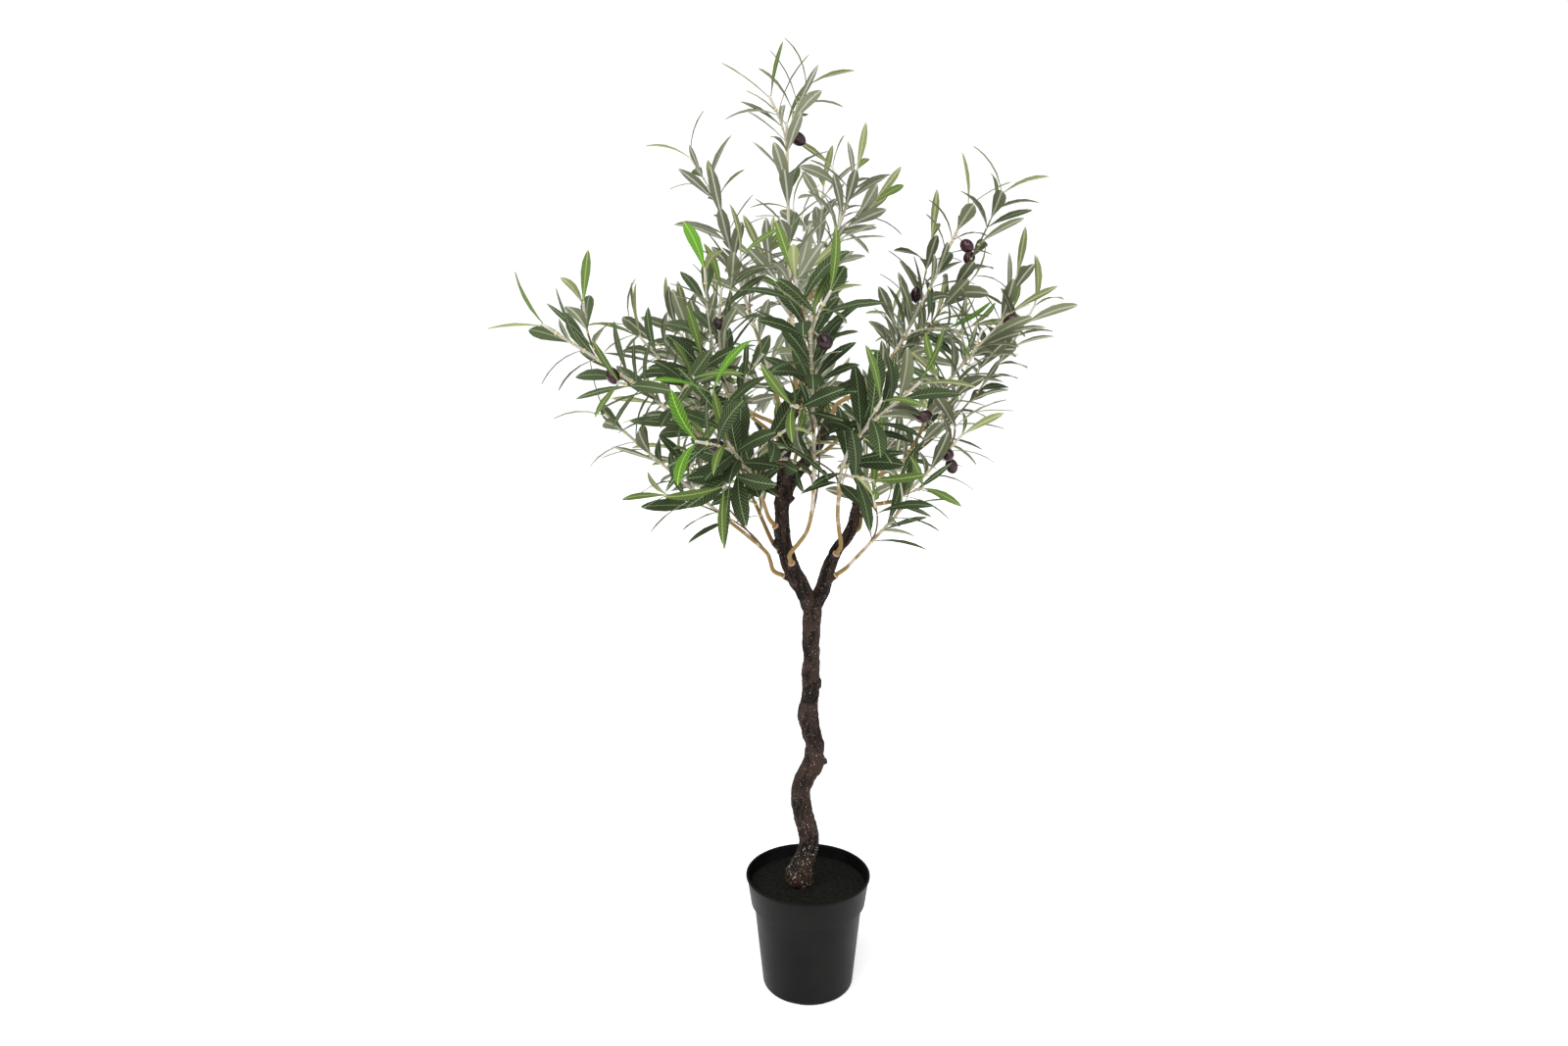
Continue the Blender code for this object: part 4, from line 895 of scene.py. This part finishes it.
# Painted shade and highlight: the relief, with random patches added, takes the colour from near black
# in the cracks to brown on the ridges.
reliefShadeAndPatches = eased(tree, maths(tree, "ADD", relief, maths(tree, "MULTIPLY", patch, 0.8)), 0.1, 1.1)
brown = blend(tree, reliefShadeAndPatches, tone("#0f0a08"), tone("#33251f"))
rubbed = blend(tree, eased(tree, grainField, 0.5, 0.72, 0, 0.25), brown, tone("#54423a"))
height = addNode(tree, "SeparateXYZ", {0: addNode(tree, "TexCoord").outputs["Object"]}).outputs[2]
low = eased(tree, height, barkPaint["dusty"], barkPaint["clean"], 1, 0.25)
dustField = noiseField(tree, barkPaint["speckle"], 1.0)
dust = maths(tree, "MULTIPLY", eased(tree, dustField, 0.66, 0.7), low)
dress(tree, shader, blend(tree, dust, rubbed, tone("#cfc8bd")), grainField,
      barkPaint["grainStrength"], float(mm(barkPaint["grainDepth"])))

# Limbs: radius + ridges that run up and wander + lumps + fine grain + bumps for the knots, a sawn
# one with a groove round it.
barkShape = dict(step=1.5, sides=96, ridge=1.3, lump=0.8, fine=0.4, groove=0.15)
lobes = dict(depth=3.2, spread=15, count=4)
knots = [
    dict(limb="trunk", height=141, out=(-1, -0.35, 0.05), radius=14, stand=4.5),
    dict(limb="trunk", height=287, out=(1, -0.3, 0.2), radius=13, stand=3),
    dict(limb="trunk", height=381, out=(-0.15, -1, 0.12), radius=9, stand=2.6, groove=1.4,
         dark=0.5),
    dict(limb="trunk", height=391, out=(1, 0.1, 0.3), radius=7, stand=3),
    dict(limb="trunk", height=351, out=(-1, -0.3, 0.2), radius=6, stand=2.5),
    dict(limb="rightBough", height=531, out=(1, -0.2, 0.1), radius=7, stand=2),
]
stubs = [
    dict(limb="trunk", height=289, out=(1, -0.2, 0.35), radius=4, flare=1.8, stand=9),
    dict(limb="leader", height=569, out=(-0.9, -0.2, 0.55), radius=6.3, flare=1.2, stand=6),
    dict(limb="leader", height=617, out=(0.8, -0.5, 0.8), radius=2.8, flare=1.3, stand=14),
]


# One limb's skin: rings at radius + relief + swell, and its relief again, lifted on raised knots and
# lobes, as the value that paints shade into its cracks and highlight onto its ridges.
def barkSkin(name, path, radii, seed):
    fine = finePath(path, barkShape["step"])
    radii = np.interp(np.linspace(0, 1, len(fine)), np.linspace(0, 1, len(path)), radii)
    length = lengthsAlong(fine)[:, None] * 1000
    turn = np.arange(barkShape["sides"])[None, :] / barkShape["sides"]
    sway = 0.06 * np.sin(length / 23 + seed) + 0.04 * np.sin(length / 9.1 + 2 * seed)
    ridge = wrapNoise(turn + sway, length / 26, 11, seed)
    ridge = 1 - 2 * np.abs(ridge) ** 0.8
    lump = wrapNoise(turn, length / 13, 5, seed + 1)
    grain = wrapNoise(turn + sway, length / 2.6, 40, seed + 2)
    relief = barkShape["ridge"] * ridge + barkShape["lump"] * lump + barkShape["fine"] * grain
    along, first, second = frames(fine)
    angle = fullTurn * turn[..., None]
    spokes = first[:, None] * np.cos(angle) + second[:, None] * np.sin(angle)
    swell = np.zeros_like(relief)
    if name == "trunk":
        above = (fine[:, 2:] - fine[0, 2]) * 1000
        swell += (lobes["depth"] * np.exp(-above / lobes["spread"])
                  * (0.4 + 0.6 * np.cos(fullTurn * turn * lobes["count"] + 1)))
    for knot in knots:
        if knot["limb"] != name:
            continue
        foot = readOff(mm(knot["height"]), fine[:, 2], fine)
        out = unit(np.array(knot["out"], dtype=float))
        surface = fine[:, None] + spokes * radii[:, None, None] - foot
        ahead = surface @ out
        off = np.linalg.norm(surface - ahead[..., None] * out, axis=-1) * 1000 / knot["radius"]
        mask = np.clip(1.25 - off ** 3, 0, 1) * (ahead > 0)
        # A knot's groove is cut into the relief, so it is painted darker too: painted shade in the
        # groove. A dark knot's face sits lower and is painted darker.
        groove = knot.get("groove", 0) * np.exp(-((off - 1.05) / barkShape["groove"]) ** 2)
        swell += knot["stand"] * mask
        relief = (relief * (1 - 0.7 * mask) - groove * (ahead > 0)
                  - knot.get("dark", 0) * mask)
    ends = np.clip(np.minimum(length, length[-1] - length) / 3 + 0.35, 0, 1) if name != "trunk" else 1
    full = (radii[:, None] + mm(relief + swell)) * ends
    points = tubePoints(fine, full, barkShape["sides"])
    # The colour value: half the relief, plus a lift where the skin swells, which paints shade in the
    # cracks and highlight on ridges, knots and lobes.
    reliefShading = np.concatenate([[0], (relief / 2 + 0.3 * (swell > 1)).ravel(), [0]])
    return points, skinFaces(1, len(fine), barkShape["sides"]), reliefShading


# A limb's whole path: the boughs run from inside their seats here.
def limbPath(name):
    if name == "trunk":
        return limbs["trunk"]
    path = smoothPath(mm(limbPlan[name]), mm(limbPlan["step"]))
    return path, taper(path, mm(limbPlan[name + "Radii"]))


for seed, name in enumerate(("trunk", "leader", "rightBough", "innerBough")):
    points, faces, reliefShading = barkSkin(name, *limbPath(name), seed + 5)
    addPiece("bark" + name[0].upper() + name[1:], points, faces, [limbNode[name]],
             [barkBrown], values=dict(relief=reliefShading))
    print("bark of", name + ":", len(faces), "faces")

stubTubes = []
for stub in stubs:
    path, radii = limbs[stub["limb"]]
    foot = readOff(mm(stub["height"]), path[:, 2], path)
    out = unit(np.array(stub["out"], dtype=float))
    reach = float(np.interp(mm(stub["height"]), path[:, 2], radii)) + mm(stub["stand"])
    share = np.linspace(0, 1, 8)
    radius = mm(stub["radius"]) * (1 + (stub["flare"] - 1) * (1 - share) ** 2)
    radius[-1] *= 0.86
    stubTubes.append((foot + share[:, None] * out * reach, radius, 20))
for spray in sprays:
    foot, end, out = sockets[spray["name"]]
    share = np.linspace(0, 1, 6)
    radius = mm(socket["radius"]) * (1 + 0.35 * (1 - share) ** 2)
    stubTubes.append((foot + share[:, None] * (end - foot), radius, 16))
points, faces = joined(stubTubes)
addPiece("barkStubs", points, faces, ["trunk", "leader", "right_bough", "inner_bough"],
         [barkBrown], values=dict(relief=np.full(len(points), 0.2)))

# Socket rings: a pale moulded band round each stem where it leaves the bark.
mouth = dict(radius=4.5, reach=2.2, edge=0.5)
ringTubes = []
for spray in sprays:
    foot, end, out = sockets[spray["name"]]
    share = np.array([-0.5, -0.42, 0.42, 0.5])
    radius = mm(mouth["radius"]) - mm(mouth["edge"]) * np.array([1, 0, 0, 1])
    centre = end + (share[:, None] * mm(mouth["reach"]) - mm(0.4)) * out
    ringTubes.append((centre, radius, 24))
points, faces = joined(ringTubes)
addPiece("socketRings", points, faces, sprayNodes, [ringPink])
print("stubs and sockets:", len(stubTubes), "socket rings:", len(ringTubes))

# Pot: near-black satin plastic, with the faint dust and scuffs of handling.
potBlack, tree, shader = newMaterial("potMouldedPolypropylene", 0.45, 0.1, IOR=1.49)
haze = noiseField(tree, 18.0, 4.0)
dress(tree, shader, blend(tree, eased(tree, haze, 0.35, 0.7), tone("#090909"), tone("#121211")))
tree.links.new(eased(tree, haze, 0.3, 0.7, 0.4, 0.5), shader.inputs["Roughness"])

# Pot: a profile of (radius, height) turned about Z; its foot is lifted over the drain notches.
potShape = dict(height=145, rim=80, lip=3, band=37, bandTop=78.6, bandFoot=73.5, bodyTop=69.5,
                bodyFoot=58.4, footRound=4, wall=1.8, floor=2.5, sides=192, round=0.7)
notches = dict(count=8, width=13, height=2, depth=6, turn=math.radians(251), below=10)


# The pot's side as (radius, height) from band top to body foot, moved in by the inset.
def wallLine(inset):
    step = potShape["height"] - potShape["band"]
    return [(potShape["bandTop"] - inset, potShape["height"] - potShape["lip"]),
            (potShape["bandFoot"] - inset, step), (potShape["bodyTop"] - inset, step - 1.2),
            (potShape["bodyFoot"] - inset, potShape["footRound"])]


# A profile with each corner cut by a small arc: three points of the parabola between two cuts.
def rounded(profile, size):
    profile = np.array(profile, dtype=float)
    before, here, after = profile[:-2], profile[1:-1], profile[2:]
    back, ahead = before - here, after - here
    cut = np.minimum(size, 0.4 * np.minimum(np.linalg.norm(back, axis=1),
                                            np.linalg.norm(ahead, axis=1)))[:, None]
    start, end = here + unit(back) * cut, here + unit(ahead) * cut
    middle = (start + 2 * here + end) / 4
    return np.vstack([profile[:1], np.stack([start, middle, end], axis=1).reshape(-1, 2),
                      profile[-1:]])


# A profile turned about Z: (r cos, r sin, z), with poles at its two ends on the axis.
def latheRings(profile, sides):
    angle = fullTurn * np.arange(sides)[None, :] / sides
    inner = mm(profile[1:-1])
    rings = np.stack([inner[:, :1] * np.cos(angle), inner[:, :1] * np.sin(angle),
                      np.broadcast_to(inner[:, 1:], (len(inner), sides))], axis=-1)
    poles = mm([[0, 0, profile[0, 1]], [0, 0, profile[-1, 1]]])
    return rings, poles


rim, height, wall = potShape["rim"], potShape["height"], potShape["wall"]
foot = [(potShape["bodyFoot"] - potShape["footRound"] * (1 - math.cos(angle)),
         potShape["footRound"] * (1 - math.sin(angle))) for angle in np.radians((22, 45, 68, 90))]
outside = [(0, 0), (potShape["bodyFoot"] - 8, 0), (potShape["bodyFoot"] - 6.5, 0),
           (potShape["bodyFoot"] - 5.9, 0)] + foot[::-1] + wallLine(0)[::-1]
lip = [(rim, height - potShape["lip"]), (rim, height - 0.8), (rim - 0.6, height),
       (rim - 0.6 - wall, height)]
inside = wallLine(wall)[:3] + [(potShape["bodyFoot"] - wall, potShape["floor"]),
                               (0, potShape["floor"])]
profile = rounded(outside + lip + inside, potShape["round"])
rings, poles = latheRings(profile, potShape["sides"])
angle = np.arctan2(rings[..., 1], rings[..., 0]) - notches["turn"]
pitch = fullTurn / notches["count"]
angle = (angle + pitch / 2) % pitch - pitch / 2
radius = np.hypot(rings[..., 0], rings[..., 1])
notched = ((np.abs(angle) * radius < mm(notches["width"]) / 2)
           & (radius > mm(potShape["bodyFoot"] - notches["depth"]))
           & (rings[..., 2] < mm(notches["below"])) & (radius < mm(potShape["bodyFoot"] + 1)))
rings[..., 2] = np.where(notched, np.maximum(rings[..., 2], mm(notches["height"])), rings[..., 2])
points = np.vstack([poles[:1], rings.reshape(-1, 3), poles[1:]])
pot = addPiece("potShell", points, skinFaces(1, len(rings), potShape["sides"]),
               ["pot"], [potBlack])
pot.data.set_sharp_from_angle(angle=math.radians(50))
print("pot:", len(pot.data.polygons), "faces")

# Fill: near-black crumbly compost-like top, a plug with a rough upper side.
fillShape = dict(top=129.5, rough=1.1, gap=0.3, rings=60, sides=180, seed=3)
fillDark, tree, shader = newMaterial("fillFoamDark", 0.95, 0.15)
crumbs = noiseField(tree, 230.0, 5.0)
dress(tree, shader, blend(tree, eased(tree, crumbs, 0.35, 0.7), tone("#080807"), tone("#191a12")),
      crumbs, 0.8, float(mm(1.5)))
inset = wall + fillShape["gap"]
topRadius = float(np.interp(fillShape["top"], [height - potShape["band"], height - potShape["lip"]],
                            [potShape["bandFoot"] - inset, potShape["bandTop"] - inset]))
under = [(0, potShape["floor"] + 0.3), (potShape["bodyFoot"] - inset, potShape["floor"] + 0.3),
         (potShape["bodyTop"] - inset, height - potShape["band"] - 0.9),
         (potShape["bandFoot"] - inset, height - potShape["band"] + 0.3)]
inwards = np.linspace(topRadius, 0, fillShape["rings"])[:, None]
top = np.hstack([inwards, np.full_like(inwards, fillShape["top"])])
profile = np.vstack([under, top])
rings, poles = latheRings(profile, fillShape["sides"])
turn = np.arange(fillShape["sides"])[None, :] / fillShape["sides"]
inward = np.maximum(0, np.arange(len(rings)) - 3)[:, None] / fillShape["rings"]
bumps = sum(wrapNoise(turn + 0 * inward, inward * rows + 0 * turn, cells, fillShape["seed"] + cells)
            * share for cells, rows, share in ((9, 5, 0.6), (40, 18, 0.35), (110, 50, 0.25)))
rings[..., 2] += np.where(inward > 0.01, bumps * mm(fillShape["rough"]), 0)
points = np.vstack([poles[:1], rings.reshape(-1, 3), poles[1:]])
addPiece("fillTop", points, skinFaces(1, len(rings), fillShape["sides"]),
         ["potting_fill"], [fillDark])
print("fill done")

# Stage: a white floor and a white world, as the cut-out photo has nothing behind the tree.
floorReach = 30
floorWhite, tree, shader = newMaterial("floorPaperWhite", 0.9, 0.5, **{
    "Base Color": (0.92, 0.92, 0.92, 1), "Emission Strength": 0.35})
floorMesh = bpy.data.meshes.new("floor")
floorMesh.from_pydata([(x * floorReach, y * floorReach, 0)
                       for x, y in ((-1, -1), (1, -1), (1, 1), (-1, 1))], [], [(0, 1, 2, 3)])
floorMesh.materials.append(floorWhite)
floor = placed("floor", floorMesh)

# The world is white to the camera, as the cut-out is, and dimmer as a light, so that dark plastic
# stays dark. Two wide suns light leaf and floor alike, the stronger from the upper left.
worldLight = dict(seen=1.1, lit=0.4)
world = bpy.data.worlds.new("studioWhite")
world.use_nodes = True
tree = world.node_tree
seen = addNode(tree, "LightPath").outputs["Is Camera Ray"]
strength = eased(tree, seen, 0, 1, worldLight["lit"], worldLight["seen"])
tree.nodes["Background"].inputs["Color"].default_value = (1, 1, 1, 1)
tree.links.new(strength, tree.nodes["Background"].inputs["Strength"])
bpy.context.scene.world = world

lamps = dict(key=dict(turn=(40, 0, -30), soft=70, strength=2.8),
             fill=dict(turn=(60, 0, 40), soft=80, strength=1.0))
for name, lamp in lamps.items():
    light = bpy.data.lights.new(name, "SUN")
    light.angle = math.radians(lamp["soft"])
    light.energy = lamp["strength"]
    placed(name, light).rotation_euler = [math.radians(angle) for angle in lamp["turn"]]

# Camera: fitted to the pot's rim and base in the photo.
view = dict(place=(-0.031, -1.068, 0.704), down=math.radians(5.61), lens=19.8, sensor=36)
lens = bpy.data.cameras.new("camera")
lens.lens = view["lens"]
lens.sensor_width = view["sensor"]
camera = placed("camera", lens)
camera.location = view["place"]
camera.rotation_euler = (math.pi / 2 - view["down"], 0, 0)
bpy.context.scene.camera = camera
bpy.context.scene.view_settings.view_transform = "Standard"
